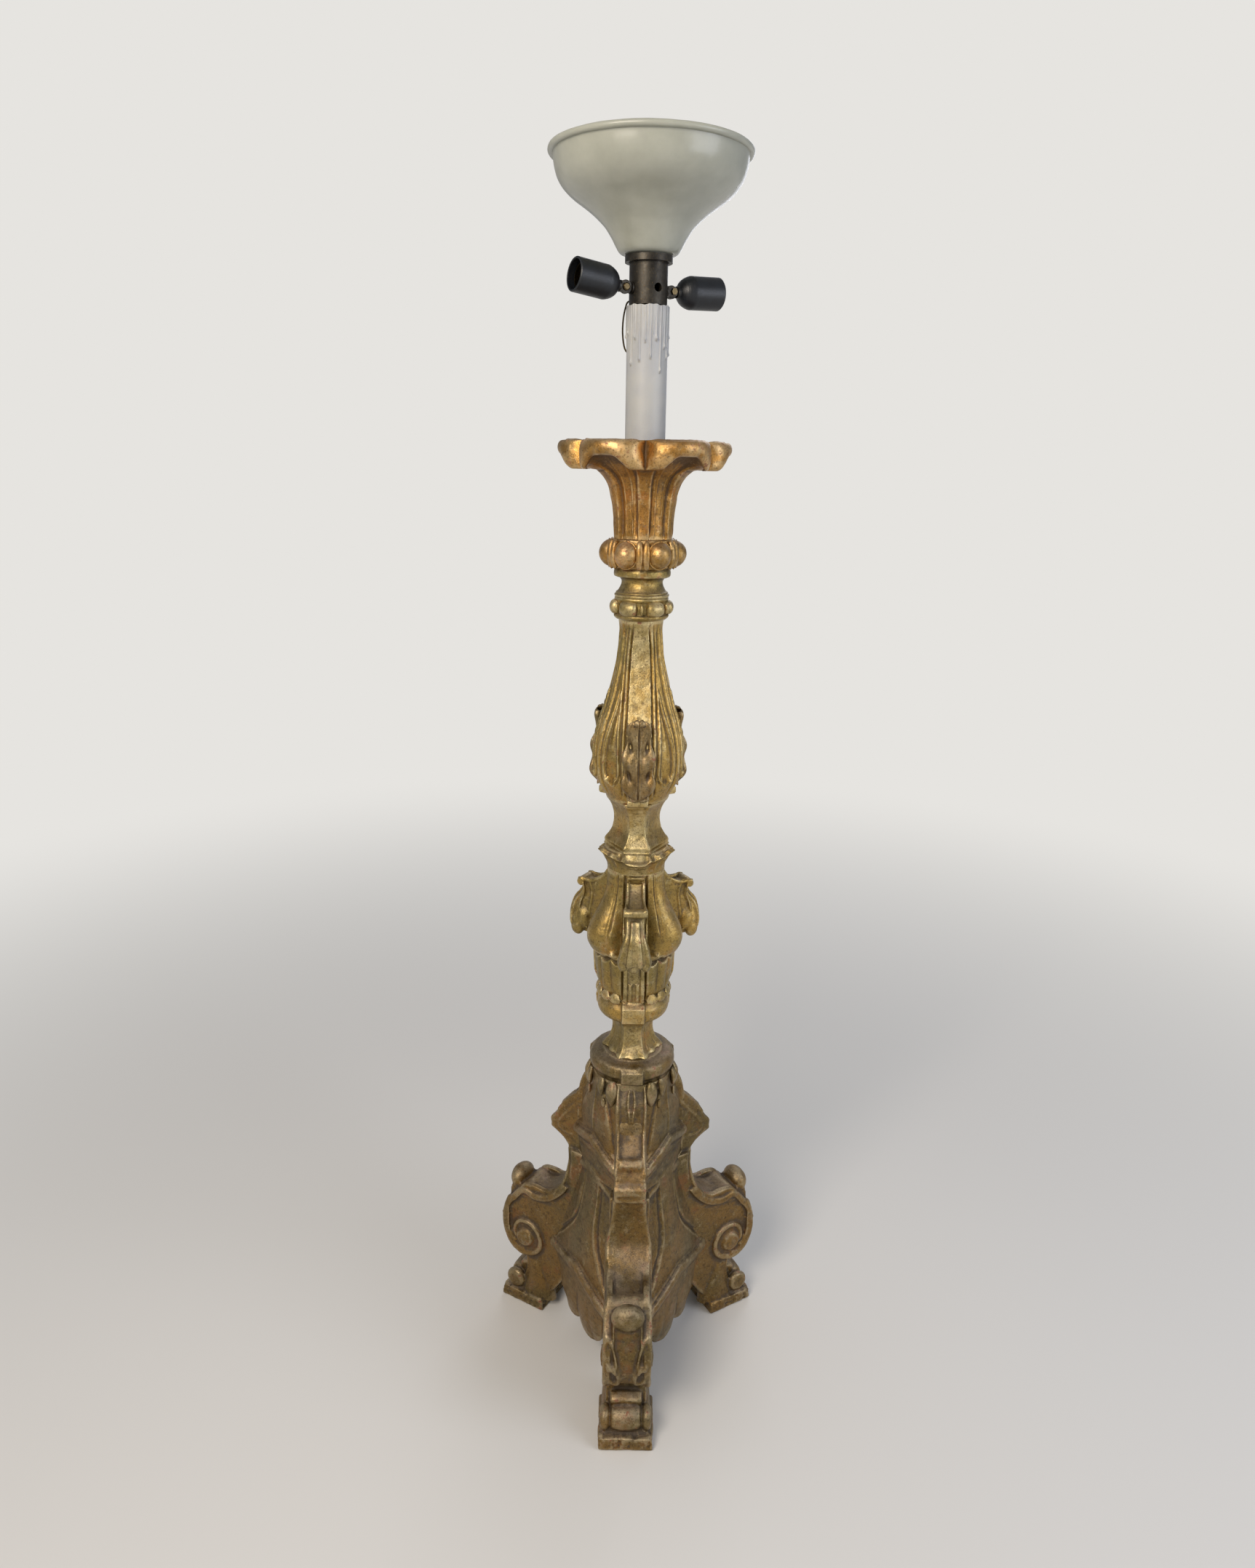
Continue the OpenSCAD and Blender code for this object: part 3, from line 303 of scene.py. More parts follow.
def corners_of(faces):
    """The faces as an array of four corners: a triangle has its last corner twice, and a face with
    more corners is fanned into fours."""
    if isinstance(faces, np.ndarray):
        return faces
    return np.array([(f[0], f[k], f[k + 1], f[min(k + 2, len(f) - 1)])
                     for f in faces for k in range(1, len(f) - 1, 2)])


def normals_of(points, quads):
    """Unit normal at each point: the sum of the cross products of its faces' diagonals."""
    flat = np.cross(points[quads[:, 2]] - points[quads[:, 0]], points[quads[:, 3]] - points[quads[:, 1]])
    total = np.stack([np.bincount(quads.ravel(), np.repeat(flat[:, k], 4), len(points))
                      for k in range(3)], 1)
    return unit(total)


def smoothed(points, quads, rounds):
    """Each point moved to the mean of its neighbours, a number of times."""
    a = quads.ravel()
    b = np.roll(quads, -1, 1).ravel()
    apart = a != b
    a, b = np.concatenate([a[apart], b[apart]]), np.concatenate([b[apart], a[apart]])
    count = np.maximum(np.bincount(a, minlength=len(points)), 1)
    for _ in range(rounds):
        points = np.stack([np.bincount(a, points[b, k], len(points)) / count for k in range(3)], 1)
    return points


def relief_of(points, quads):
    """How far each point stands proud of its surroundings, in mm: above zero on ridges and edges,
    below zero in hollows. It drives the wear and the dirt of the gilding."""
    n = normals_of(points, quads)
    near = smoothed(points, quads, 4)
    wide = smoothed(near, quads, 20)
    return np.sum((points - near) * n, 1) + 0.5 * np.sum((points - wide) * n, 1)


def strap_front(points, normals):
    """1 on the outward faces in line with a leg, where a painted highlight turns the leaf pale,
    and 0 away from them."""
    az = azimuth_of(points)
    across = np.linalg.norm(points[:, :2], axis=1) * np.sin(np.radians(from_strap(az)))
    out = np.abs(np.sum(normals * polar(az, 1.0, 0.0), 1))
    return np.exp(-((across / STRAP_HIGHLIGHT_HALF) ** 6)) * ease(0.5, 0.85, out)


def outward(shell):
    """The shell with its faces turned to look away from its middle."""
    points, faces = shell
    if np.sum(normals_of(points, corners_of(faces)) * (points - points.mean(0))) < 0:
        faces = [face[::-1] for face in faces]
    return points, faces


def lay(mesh, field, values):
    """One value for each point of the mesh, which its material reads by the field's name."""
    mesh.attributes.new(field, "FLOAT", "POINT").data.foreach_set("value", values.astype(np.float32))


def carve(name, shell, material, replaces, seed, depth=0.3, strap_highlight=0.0, worn=1.0, body="stand"):
    """One piece from a shell: roughened by the carver's unevenness along its normals, given the
    fields that place its wear and its painted highlight, and hung on its body. strap_highlight
    is how pale the painted highlight makes its strap fronts, and worn is how far its ridges are."""
    points, faces = shell
    quads = corners_of(faces)
    points = points + normals_of(points, quads) * tool_marks(points, seed, depth)[:, None]
    mesh = mesh_of(name, points, faces)
    relief = relief_of(points, quads)
    lay(mesh, "relief", np.where(relief > 0, relief * worn, relief))
    # painted highlight: the outward strap fronts are laid pale, as if light glinted on them
    lay(mesh, "strap_highlight", strap_highlight * strap_front(points, normals_of(points, quads)))
    mesh.polygons.foreach_set("use_smooth", np.ones(len(mesh.polygons), bool))
    mesh.materials.append(material)
    mesh.update()
    piece = placed(name, mesh)
    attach(piece, body)
    if replaces:
        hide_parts(*replaces)
    return piece


def lathe(profile, columns):
    """Grid of a profile of (radius, height) points, from the foot up, turned round the stem."""
    profile = np.asarray(profile, float)
    az = np.arange(columns) * 360 / columns
    return polar(az[None, :], profile[:, :1], profile[:, 1:2])


def off_plane(line, v):
    """Points of (distance, height) in a leg's plane, set v to the side of it."""
    line = np.asarray(line, float)
    return np.stack([np.broadcast_to(v, line.shape[:-1]), -line[..., 0], line[..., 1]], -1)


def board(outline, half, edge=3.0, middle=0.0):
    """Board across a leg's plane: an outline of (distance from the stem, height), anticlockwise,
    half wide each way from middle, its corners rounded by insetting the outer rows."""
    outline = np.asarray(outline, float)
    run = unit(np.roll(outline, -1, 0) - np.roll(outline, 1, 0))
    inward = np.stack([-run[:, 1], run[:, 0]], 1)
    turn = np.radians([-90, -55, -25, 0, 0, 25, 55, 90])[:, None]
    side = np.repeat([-1.0, 1.0], 4)[:, None]
    across = middle + side * (half - edge) + edge * np.sin(turn)
    line = outline[None] + inward[None] * (edge * (1 - np.cos(turn)))[:, :, None]
    index, faces = net(*line.shape[:2])
    caps = [index[0].tolist(), index[-1][::-1].tolist()]
    return off_plane(line, across).reshape(-1, 3), backwards(faces).tolist() + caps


def rope(line, wide, thick, side, sections=12):
    """Bar along a line of points: an ellipse, half axes wide along side and thick square to it,
    each one value or one for each point, carried along the line and closed at its ends."""
    line = np.asarray(line, float)
    ahead = unit(np.gradient(line, axis=0))
    up = unit(np.cross(ahead, np.broadcast_to(side, line.shape)))
    side = np.cross(up, ahead)
    turn = np.arange(sections) * 2 * np.pi / sections
    wide = np.broadcast_to(np.asarray(wide, float), len(line))[:, None, None]
    thick = np.broadcast_to(np.asarray(thick, float), len(line))[:, None, None]
    return skin(line[:, None] + wide * np.cos(turn)[None, :, None] * side[:, None]
                + thick * np.sin(turn)[None, :, None] * up[:, None])


def strip(line, v, wide, thick, sections=10):
    """Bar along a line of (distance, height), set v to the side of a leg's plane."""
    return rope(off_plane(line, v), wide, thick, ACROSS, sections)


def roller(x, u, z, radius, sections):
    """Round bar square to a leg's plane, at distance u and height z, with its radius at each x."""
    return rope(np.stack([x, 0 * x - u, 0 * x + z], 1), radius, radius, ALONG, sections)


def ball(centre, radii, rows=14, columns=20):
    """Ellipsoid round a centre with three half axes."""
    lat = np.linspace(-0.5, 0.5, rows)[:, None] * np.pi * 0.97
    lon = np.arange(columns)[None, :] * 2 * np.pi / columns
    globe = np.stack([np.cos(lat) * np.cos(lon), np.cos(lat) * np.sin(lon),
                      np.sin(lat) + 0 * lon], -1)
    return skin(np.asarray(centre, float) + globe * np.asarray(radii, float))


def spun(shell, az):
    """A shell turned about the stem."""
    return turned(shell[0], az), shell[1]


def thrice(shells):
    """The same shells at each of the three legs' azimuths."""
    return [spun(s, az) for az in SIDES.values() for s in shells]


def flipped(shell):
    """A shell mirrored across a leg's plane."""
    points, faces = shell
    return points * (-1, 1, 1), [face[::-1] for face in faces]


def both(shells):
    """The shells and their mirror images across a leg's plane."""
    return list(shells) + [flipped(s) for s in shells]


# ---------- materials ----------


def linear(hex_colour):
    """An sRGB hex colour as linear RGBA."""
    parts = [int(hex_colour[i : i + 2], 16) / 255 for i in (1, 3, 5)]
    return tuple(p / 12.92 if p <= 0.04045 else ((p + 0.055) / 1.055) ** 2.4 for p in parts) + (1.0,)


def add(tree, kind, inputs=None, **settings):
    """Adds one node with its settings, and a link, a value or a hex colour for each socket named."""
    made = tree.nodes.new("ShaderNode" + kind)
    for name, value in settings.items():
        setattr(made, name, value)
    for socket, value in (inputs or {}).items():
        if isinstance(value, bpy.types.NodeSocket):
            tree.links.new(value, made.inputs[socket])
        else:
            made.inputs[socket].default_value = linear(value) if isinstance(value, str) else value
    return made


class Finish:
    """A node material in the making. Its patterns lie in object coordinates."""

    def __init__(self, name):
        self.made = bpy.data.materials.new(name)
        self.made.use_nodes = True
        self.tree = self.made.node_tree
        self.tree.nodes.clear()
        self.place = self.add("TexCoord").outputs["Object"]

    def add(self, kind, inputs=None, **settings):
        return add(self.tree, kind, inputs, **settings)

    def noise(self, size_mm, detail, rough=0.5):
        """Noise whose features are about size_mm wide."""
        return self.add("TexNoise", {"Vector": self.place, "Scale": 1000.0 / size_mm,
                        "Detail": detail, "Roughness": rough}).outputs["Fac"]

    def field(self, name):
        """The values that were laid on the mesh's points under this name."""
        return self.add("Attribute", attribute_name=name).outputs["Fac"]

    def ranged(self, value, low, high, to_low=0.0, to_high=1.0, easing="SMOOTHSTEP"):
        """The range low..high of a value, spread over to_low..to_high."""
        made = self.add("MapRange", {"Value": value, "From Min": low, "From Max": high,
                        "To Min": to_low, "To Max": to_high}, interpolation_type=easing)
        return made.outputs["Result"]

    def maths(self, operation, a, b):
        return self.add("Math", {0: a, 1: b}, operation=operation).outputs[0]

    def plus(self, a, b):
        return self.maths("ADD", a, b)

    def times(self, a, b):
        return self.maths("MULTIPLY", a, b)

    def mixed(self, factor, a, b):
        """Colour a where the factor is 0, and colour b where it is 1."""
        return self.add("Mix", {0: factor, 6: a, 7: b}, data_type="RGBA").outputs[2]

    def with_surface(self, shader):
        """The material, with this shader as its surface."""
        self.add("OutputMaterial", {"Surface": shader})
        return self.made

    def coated(self, colour, roughness, height, bump_mm, strength=0.6, **sockets):
        """The material, with a plain principled surface and a bump of bump_mm."""
        bump = self.add("Bump", {"Strength": strength, "Distance": bump_mm * MM, "Height": height})
        shader = self.add("BsdfPrincipled", {"Base Color": colour, "Roughness": roughness,
                          "Normal": bump.outputs["Normal"], **sockets})
        return self.with_surface(shader.outputs[0])


DUST, BOLE, GRIME = "#7f7468", "#7d3d1c", "#30241a"


def gilding(name, leaf, olive, deep, pale, warm):
    """Water gilding, centuries old: thin gold leaf burnished over red-brown bole and gesso on
    carved limewood. It gives a soft metal sheen that drifts from gold to olive, pale gesso worn
    bare on edges, red-brown bole where the leaf wore through, brown toning in the hollows, grey
    dust on faces that look up, and a painted highlight that turns the strap fronts pale."""
    g = Finish(name)
    drift = g.noise(150, 3, 0.6)     # slow change of tone over a hand's width
    patches = g.noise(34, 5, 0.65)   # rubbed patches a few centimetres wide
    mottle = g.noise(8, 5, 0.72)     # blotches of toning
    grit = g.noise(2.4, 4, 0.75)     # dust and pinholes, drawn as coarse as the render can show
    worn_relief = g.plus(g.field("relief"), g.ranged(patches, 0.3, 0.7, -0.3, 0.3))
    edges = g.ranged(g.plus(worn_relief, g.ranged(mottle, 0.3, 0.7, -0.35, 0.35)), 0.2, 1.2)
    crest = g.times(g.ranged(patches, 0.36, 0.62, 0.2, 1.0), edges)
    hollow = g.ranged(g.plus(worn_relief, g.ranged(mottle, 0.3, 0.7, -0.4, 0.4)), 0.05, -1.0)
    faces = g.add("SeparateXYZ", {0: g.add("NewGeometry").outputs["Normal"]}).outputs["Z"]
    upward = g.times(g.ranged(faces, 0.2, 0.9), g.ranged(patches, 0.25, 0.6))
    # painted highlight: where the mesh marks a strap front, the leaf is mixed towards pale
    strap = g.times(g.field("strap_highlight"), g.ranged(g.noise(17, 5, 0.7), 0.36, 0.62, 0.15, 0.7))

    colour = g.mixed(g.ranged(drift, 0.38, 0.62), leaf, olive)
    colour = g.mixed(g.ranged(patches, 0.53, 0.68, 0.0, 0.7), colour, warm)
    # painted highlight on the strap fronts
    colour = g.mixed(strap, colour, pale)
    colour = g.mixed(g.ranged(mottle, 0.48, 0.68, 0.0, 0.62), colour, deep)
    colour = g.mixed(g.ranged(g.noise(19, 6, 0.75), 0.55, 0.68, 0.0, 0.42), colour, pale)
    colour = g.mixed(g.times(upward, 0.5), colour, DUST)
    colour = g.mixed(g.times(hollow, 0.8), colour, deep)
    colour = g.mixed(g.times(crest, 0.62), colour, pale)
    bole = g.times(g.ranged(crest, 0.3, 0.8), g.ranged(g.noise(12, 4, 0.7), 0.56, 0.63))
    colour = g.mixed(g.times(bole, 0.8), colour, BOLE)
    colour = g.mixed(g.ranged(grit, 0.52, 0.68, 0.0, 0.72), colour, GRIME)
    colour = g.mixed(g.ranged(g.noise(3.6, 3, 0.7), 0.6, 0.7, 0.0, 0.3), colour, pale)

    dull = g.plus(g.times(hollow, 0.24), g.times(upward, 0.12))
    roughness = g.plus(g.ranged(mottle, 0.3, 0.7, 0.27, 0.46), dull)
    bare = g.plus(g.maths("MAXIMUM", hollow, bole), g.times(upward, 0.5))
    height = g.plus(g.times(grit, 0.4), mottle)
    return g.coated(colour, roughness, height, 1.2, Metallic=g.ranged(bare, 0.0, 1.0, 0.82, 0.2))


def plain_finish(name, low, high, size_mm, rough_low, rough_high, bump_mm, wear=None, **sockets):
    """A finish whose colour and roughness wander between two values over size_mm, with a bump of
    bump_mm. wear adds a third colour in sparse rubbed patches."""
    made = Finish(name)
    wander, fine = made.noise(size_mm, 6, 0.65), made.noise(size_mm / 7, 4, 0.7)
    colour = made.mixed(made.ranged(wander, 0.35, 0.65, easing="LINEAR"), low, high)
    if wear:
        colour = made.mixed(made.ranged(fine, 0.58, 0.7, 0.0, 0.85), colour, wear)
    roughness = made.ranged(fine, 0.3, 0.7, rough_low, rough_high, "LINEAR")
    return made.coated(colour, roughness, fine, bump_mm, **sockets)


# Old leaf on the stem, the darker leaf of the base, its collar and buds and the baluster's
# leaves, and the warm leaf of the cup and the gadroons. On the base and its legs the darker
# leaf is partly painted shade, for the dimmer light low down
gilt_wood = gilding("aged_water_gilding", "#b2904c", "#8f7c48", "#46371f", "#d6c493", "#a37436")
gilt_dark = gilding("darker_water_gilding", "#87693a", "#70603b", "#33271c", "#b5a37e", "#815632")
gilt_orange = gilding("orange_water_gilding", "#b07d3c", "#99753a", "#452f1a", "#dabd8a", "#a9682f")
# Satin opal glass, cased white and etched outside: milky, with light soaking into the wall
opal_glass = plain_finish(
    "etched_opal_glass", "#9d9e92", "#aaab9f", 60, 0.3, 0.42, 0.05,
    **{"Subsurface Weight": 0.35, "Subsurface Radius": (0.012, 0.011, 0.009),
       "Subsurface Scale": 1.0, "Coat Weight": 0.25, "Coat Roughness": 0.15})
# Brass darkened with a bronze patina, rubbed back to bare metal in spots
patinated_brass = plain_finish(
    "bronze_patina_on_brass", "#2e2b27", "#45413a", 14, 0.36, 0.58, 0.12, wear="#6f5d3e",
    Metallic=0.85)
# Turned brass, dull with age: pins, nuts, shells
dull_brass = plain_finish(
    "dull_turned_brass", "#5f523a", "#4b402d", 8, 0.24, 0.42, 0.04, Metallic=1.0)
# Zinc-plated steel tube and washers
zinc_steel = plain_finish(
    "zinc_plated_steel", "#8f9296", "#7b7d80", 9, 0.28, 0.42, 0.03, Metallic=1.0)
# Phenolic moulding: blue-black and faintly mottled, with a polished skin gone dull
bakelite = plain_finish(
    "black_phenolic_moulding", "#090b0f", "#11151b", 11, 0.32, 0.55, 0.08, wear="#1d2329")
# Glazed porcelain insulator inside each holder
porcelain = plain_finish(
    "glazed_porcelain", "#dedbd2", "#d2cec4", 12, 0.1, 0.2, 0.03, **{"Coat Weight": 0.6})

# ---------- base body ----------
LEG_HALF = 31.0        # half thickness of a leg's plain side
LIP_HALF = 24.5        # half width of the strap and lip
SEAT_R = 50.0          # flat seat of a leg, from the stem
RECESS_R, RECESS_TOP = 34.0, 165.0
RECESS_FLARE = 3.0     # how much wider the mouth of the recess is
APRON_WALL = 7.0       # level edge under the apron
SPIGOT_R = 17.0
TOP_R = 62.0           # round top of the base body
LEG_TOP = 345.0        # where a leg narrows into its strap
LET_IN = 3.0           # how far the panels run in behind the side of a leg
PANEL_BOW = 6.0
APRON_SHARE = 0.22     # share of the body's height that the apron's edge bends
LOBE_AT, LOBE_HALF = 0.64, 0.44                      # the apron's leaf lobe, across half a panel
LOW_AT, HIGH_AT = 0.272, 0.765                       # a panel's two mouldings, up the body
FLANGE_R, FLANGE_T, BUSH_HOLE_R = 10.5, 2.7, 6.2     # the cable bush in the back panel


def panel_distance(f):
    """Distance from the stem to a panel's face, from the foot (0) to the top (1)."""
    return track([[0, 81], [0.09, 86], [0.25, 89], [0.33, 86], [0.45, 75], [0.6, 64], [0.8, 62],
                  [1, 62]], f)


def panel_relief(f, s):
    """Carving of a panel in mm, at height f and share s of the way from the leg to its middle:
    two raised mouldings that sink towards the leg, a flat margin with a gouged line, a raised
    cushion with a crisp arris, and a tall pointed field above the upper moulding."""
    low_at = LOW_AT - 0.05 * (1 - s)
    high_at = HIGH_AT - 0.045 * (1 - s)
    moulding = 6 * dome((f - low_at) / 0.019) ** 0.7 + 5.5 * dome((f - high_at) / 0.017) ** 0.7
    moulding += 2.2 * (hump(-0.036, -0.026, 0.02, 0.03, f - low_at)
                       + hump(-0.03, -0.022, 0.018, 0.026, f - high_at))
    top = 0.615 - 0.03 * (1 - s)
    lower = hump(0.024, 0.034, 0, 1, f - low_at) * ease(top + 0.015, top - 0.01, f)
    edge = track([[0.2, 0.05], [0.27, 0.12], [0.31, 0.28], [0.345, 0.4], [0.395, 0.56], [0.45, 0.64],
                  [0.54, 0.63], [0.64, 0.6]], f)
    cushion = ease(edge - 0.03, edge + 0.02, s)
    swell = 4.5 * dome((1 - s) / (1.03 - edge)) ** 1.2
    arris = 1.5 * bell(s - edge - 0.03, 0.022)
    gouge = -2.8 * bell(s - edge + 0.07, 0.035)
    margin = -4.5 * ease(0.02, 0.06, s) + gouge - 1.2 * dome((s - 0.25) / 0.16)
    sunk = (1 - cushion) * margin + cushion * (swell - 4.2 + arris)
    upper = ease(0.028, 0.04, f - high_at) * ease(0.995, 0.95, f)
    point = 0.75 * np.sqrt(np.clip((1.0 - f) / 0.22, 0, 1))
    leaf = ease(0.96 - point - 0.05, 0.96 - point + 0.02, s)
    field = -5 * (1 - leaf) * ease(0.03, 0.09, s) + leaf * (3.0 * dome((1 - s) / 0.75) - 2.5)
    rib = 1.6 * bell(s - 1, 0.045) * upper
    band = -2.0 * hump(0.64, 0.66, 0.695, 0.72, f + 0.035 * (1 - s)) * ease(0.03, 0.08, s)
    return moulding + lower * sunk + upper * field + rib + band


def apron(s):
    """Height of the base body's lower edge in mm above its foot: it drops from the leg to the round
    tip of a leaf lobe, and rises again to the middle of the panel."""
    return 44 - 29 * dome((s - LOBE_AT) / LOBE_HALF) ** 0.8 + 8 * ease(0.25, 0.0, s)


def apron_folds(f, s):
    """The leaf lobe along the apron swells out and has one soft fold, in mm; it fades up the body."""
    swell = 8.5 * dome((s - LOBE_AT) / LOBE_HALF)
    fold = -1.4 * bell(s - 0.42 - 1.2 * f, 0.08)
    return (swell + fold - 3) * ease(0.22, 0.08, f)


def bush_seat(points):
    """The back panel drawn in to a flat ring that carries the cable bush's flange, and bored for
    the bush inside it."""
    low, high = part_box("cable_bush")
    off = np.hypot(points[..., 0], points[..., 2] - (low.z + high.z) / 2 / MM)
    seat = high.y / MM - FLANGE_T
    limit = np.where(off < BUSH_HOLE_R, seat - 30, seat)
    near = (off < FLANGE_R) & (points[..., 1] > 60)
    points[..., 1] = np.where(near, np.minimum(points[..., 1], limit), points[..., 1])
    return points


def base_shell():
    """The body as one ring grid, whose rows run from inside the recess out under the apron, up the
    panels between the legs to the round top, and in over it. They lie closest over the mouldings.
    Half a panel is worked out, from a leg (s = 0) to the panel's middle (s = 1)."""
    f = np.unique(np.concatenate([np.linspace(0, 1, 176), np.linspace(0.22, 0.3, 36),
                                  np.linspace(0.73, 0.8, 36)]))[:, None]
    s = np.concatenate([np.linspace(0, 0.12, 8, endpoint=False), np.linspace(0.12, 1, 46)])[None]
    z = APRON + f * BASE_H
    half = np.where(z < LEG_TOP, LEG_HALF, LIP_HALF) - LET_IN
    d = panel_distance(f)
    n = np.array([math.sqrt(0.75), -0.5])
    corner = np.stack([half + 0 * d, (d - n[0] * half) / n[1]], -1)
    q = ease(0.84, 1, f)
    out = d + PANEL_BOW * (1 - q) * (1 - (1 - s) ** 2) + panel_relief(f, s) + apron_folds(f, s)
    flat = corner + s[..., None] * (n * d[..., None] - corner) + (out - d)[..., None] * n
    start = np.degrees(np.arcsin(half / TOP_R))
    az = start + s * (60 - start)
    round_r = TOP_R + 0.6 * panel_relief(f, s)
    xy = flat + q[..., None] * (polar(az, round_r, z)[..., :2] - flat)
    lift = apron(s) * (1 - f / APRON_SHARE) ** 2 * (f < APRON_SHARE)
    sector = np.concatenate([xy, (z + lift)[..., None] + 0 * xy[..., :1]], -1)
    mirror = sector[:, ::-1] * (-1, 1, 1)
    third = np.concatenate([sector, turned(mirror, 120)[:, 1:]], 1)
    ring = bush_seat(np.concatenate([turned(third, az) for az in SIDES.values()], 1))
    foot = ring[0]
    across = np.linalg.norm(foot[:, :2], axis=1)
    way = foot[:, :2] / across[:, None]

    def inner(r, height):
        return np.concatenate([way * r, np.full((len(foot), 1), height)], 1)

    mouth = RECESS_R + RECESS_FLARE
    inside = [inner(r, h) for r, h in ((1, RECESS_TOP), (RECESS_R, RECESS_TOP),
                                       (RECESS_R, APRON + 22), (mouth, APRON + 18))]
    edge = foot.copy()
    edge[:, :2] = way * (across[:, None] - APRON_WALL)
    top = [inner(r, COLLAR) for r in (TOP_R - 2, SPIGOT_R, 1)]
    return skin(np.stack(inside + [edge] + list(ring) + top))


# ---------- legs ----------
EYE = (186.0, 135.0)       # centre of the volute, from the stem and from the floor
SHELF = 238.0              # height of the shelf on top of the scroll
FOOT_R = 232.0             # front of the pad
PAD_T, PAD_L, PAD_W = 21.0, 85.0, 84.0
TOE_R = 16.0               # roll over the pad
EYE_R, EGG_R = 19.0, 18.0  # knobs in the volute and over the leaf
LIP_R, NECK_R = 139.0, 103.5                             # front of the lip and of the neck
LIP_ROLL_R = 13.0
RIM_BAND, RIM_DEPTH = 13.0, 4.0                          # rims beside the hollow panel
SHELF_HALF, RIM_HALF, VOLUTE_HALF = 25.0, 36.0, 40.0
LEAF_HALF, LEAF_T, LEAF_PROUD = 36.0, 9.0, 0.6           # leaf down the front of the scroll
LEG_VOXEL = 1.7


def lip_face():
    """Front of the strap, from the collar down over the rolled lip and back to the neck."""
    drop = [[TOP_R - 6, 0], [TOP_R + 9.5, -23], [LIP_R - 58, -46], [LIP_R - 51, -68],
            [LIP_R - 29, -91], [LIP_R - 12, -117], [LIP_R - 1, -143], [LIP_R, -151]]
    under = [[LIP_R, -151], [LIP_R - 9, -155], [LIP_R - 24, -164], [NECK_R + 1, -175]]
    return np.vstack([path(drop, 8), path(under, 6)[1:]]) + (0, COLLAR)


def scroll_face(drop=0.0, inset=0.0):
    """Neck, hollow shelf and outer curve of the scroll down to under the volute. drop lowers the
    shelf and inset draws in the outer curve."""
    (e, h), s = EYE, SHELF - drop
    return path([[NECK_R - drop, LEG_TOP], [NECK_R - drop, SHELF + 78], [NECK_R + 9 - drop, SHELF + 38],
                 [e - 50, s + 11], [e - 23, s], [e + 4 - inset / 2, s + 2.5], [e + 25 - inset, s - 18],
                 [e + 43 - inset, s - 48], [e + 48 - inset, h + 20], [e + 42 - inset, h - 9],
                 [e + 23 - inset / 2, h - 33 + inset / 2], [e + 2, h - 36 + inset / 2]], 8)


def shin():
    """Front of the shin under the volute, down to the pad, and back up the inside of the leg."""
    e, h = EYE
    front = path([[e, h - 55], [e + 1, h - 70], [e + 6, h - 88], [e + 10, PAD_T - 2]], 5)
    back = path([[FOOT_R - PAD_L + 2, PAD_T - 2], [e - 45, 34], [e - 56, 46], [e - 68, 64],
                 [e - 82, 84], [e - 88, 60], [e - 88, APRON]], 5)
    return np.vstack([front, back, [[SEAT_R, APRON]]])


def volute(inward):
    """Spiral of the volute round its eye: the radius falls from 43 to 22 mm over one turn."""
    turn = np.linspace(0, 360, 60)
    r = track([[0, 43], [60, 40], [90, 37], [180, 36], [270, 36], [320, 28], [360, 22]], turn)
    r = r - inward * (1 - 0.45 * turn / 360)
    at = np.radians(-12 - turn)
    return np.stack([EYE[0] + r * np.cos(at), EYE[1] + r * np.sin(at)], 1)


def leaf_skin(crest, x, front, rear, narrow=1.0):
    """A leaf over a crest line of (distance, height) at places x across it: front and rear are how
    far its two faces stand off the line, away from the stem. narrow draws its rear in."""
    line = np.asarray(crest, float)
    side = right_of(line)
    side = (side if side[len(line) // 3, 0] >= 0 else -side)[:, None]
    face = off_plane(line[:, None] + front[..., None] * side, x)
    behind = off_plane(line[:, None] + rear[..., None] * side, narrow * x)
    return outward(skin(np.concatenate([face, behind[:, ::-1]], 1)))


def leaf_blade(crest, half, lobes, rise, back):
    """Acanthus leaf over a crest line of (distance, height) that runs to the tip, half wide on
    each side. With v across (-1..1) and s along, its lobes beat as 1/2 - 1/2 cos of (lobes s - 0.5
    |v|) turns: they scallop the edge, swell, and curl outwards, with a drilled eye between two
    lobes and a double midrib. back is how deep its body goes behind the crest."""
    s, v = np.linspace(0, 1, len(crest))[:, None], np.linspace(-1, 1, 61)[None]
    turn = lobes * s - 0.5 * np.abs(v) + 0.35
    soft = ease(1.0, 0.86, s) * ease(0.0, 0.05, s)
    beat = 1 - soft * (0.5 + 0.5 * np.cos(2 * np.pi * turn))
    gap = np.abs((turn + 0.5) % 1 - 0.5)
    out = -5.0 * v**2 + rise * (1.1 * beat * np.sin(np.pi * np.clip(np.abs(v), 0, 1)) ** 0.8
                                + 0.9 * ease(0.62, 0.95, np.abs(v)) * beat)
    out -= soft * rise * 1.8 * bell(np.abs(v) - 0.66, 0.15) * bell(gap, 0.16)
    rib = 0.45 * bell(np.abs(v) - 0.11, 0.06) - 0.1 * bell(v, 0.05)
    out += soft * rise * rib
    x = np.reshape(half, (-1, 1)) * v * (0.8 + 0.2 * beat)
    return leaf_skin(crest, x, out, 0 * v - back, 0.8)


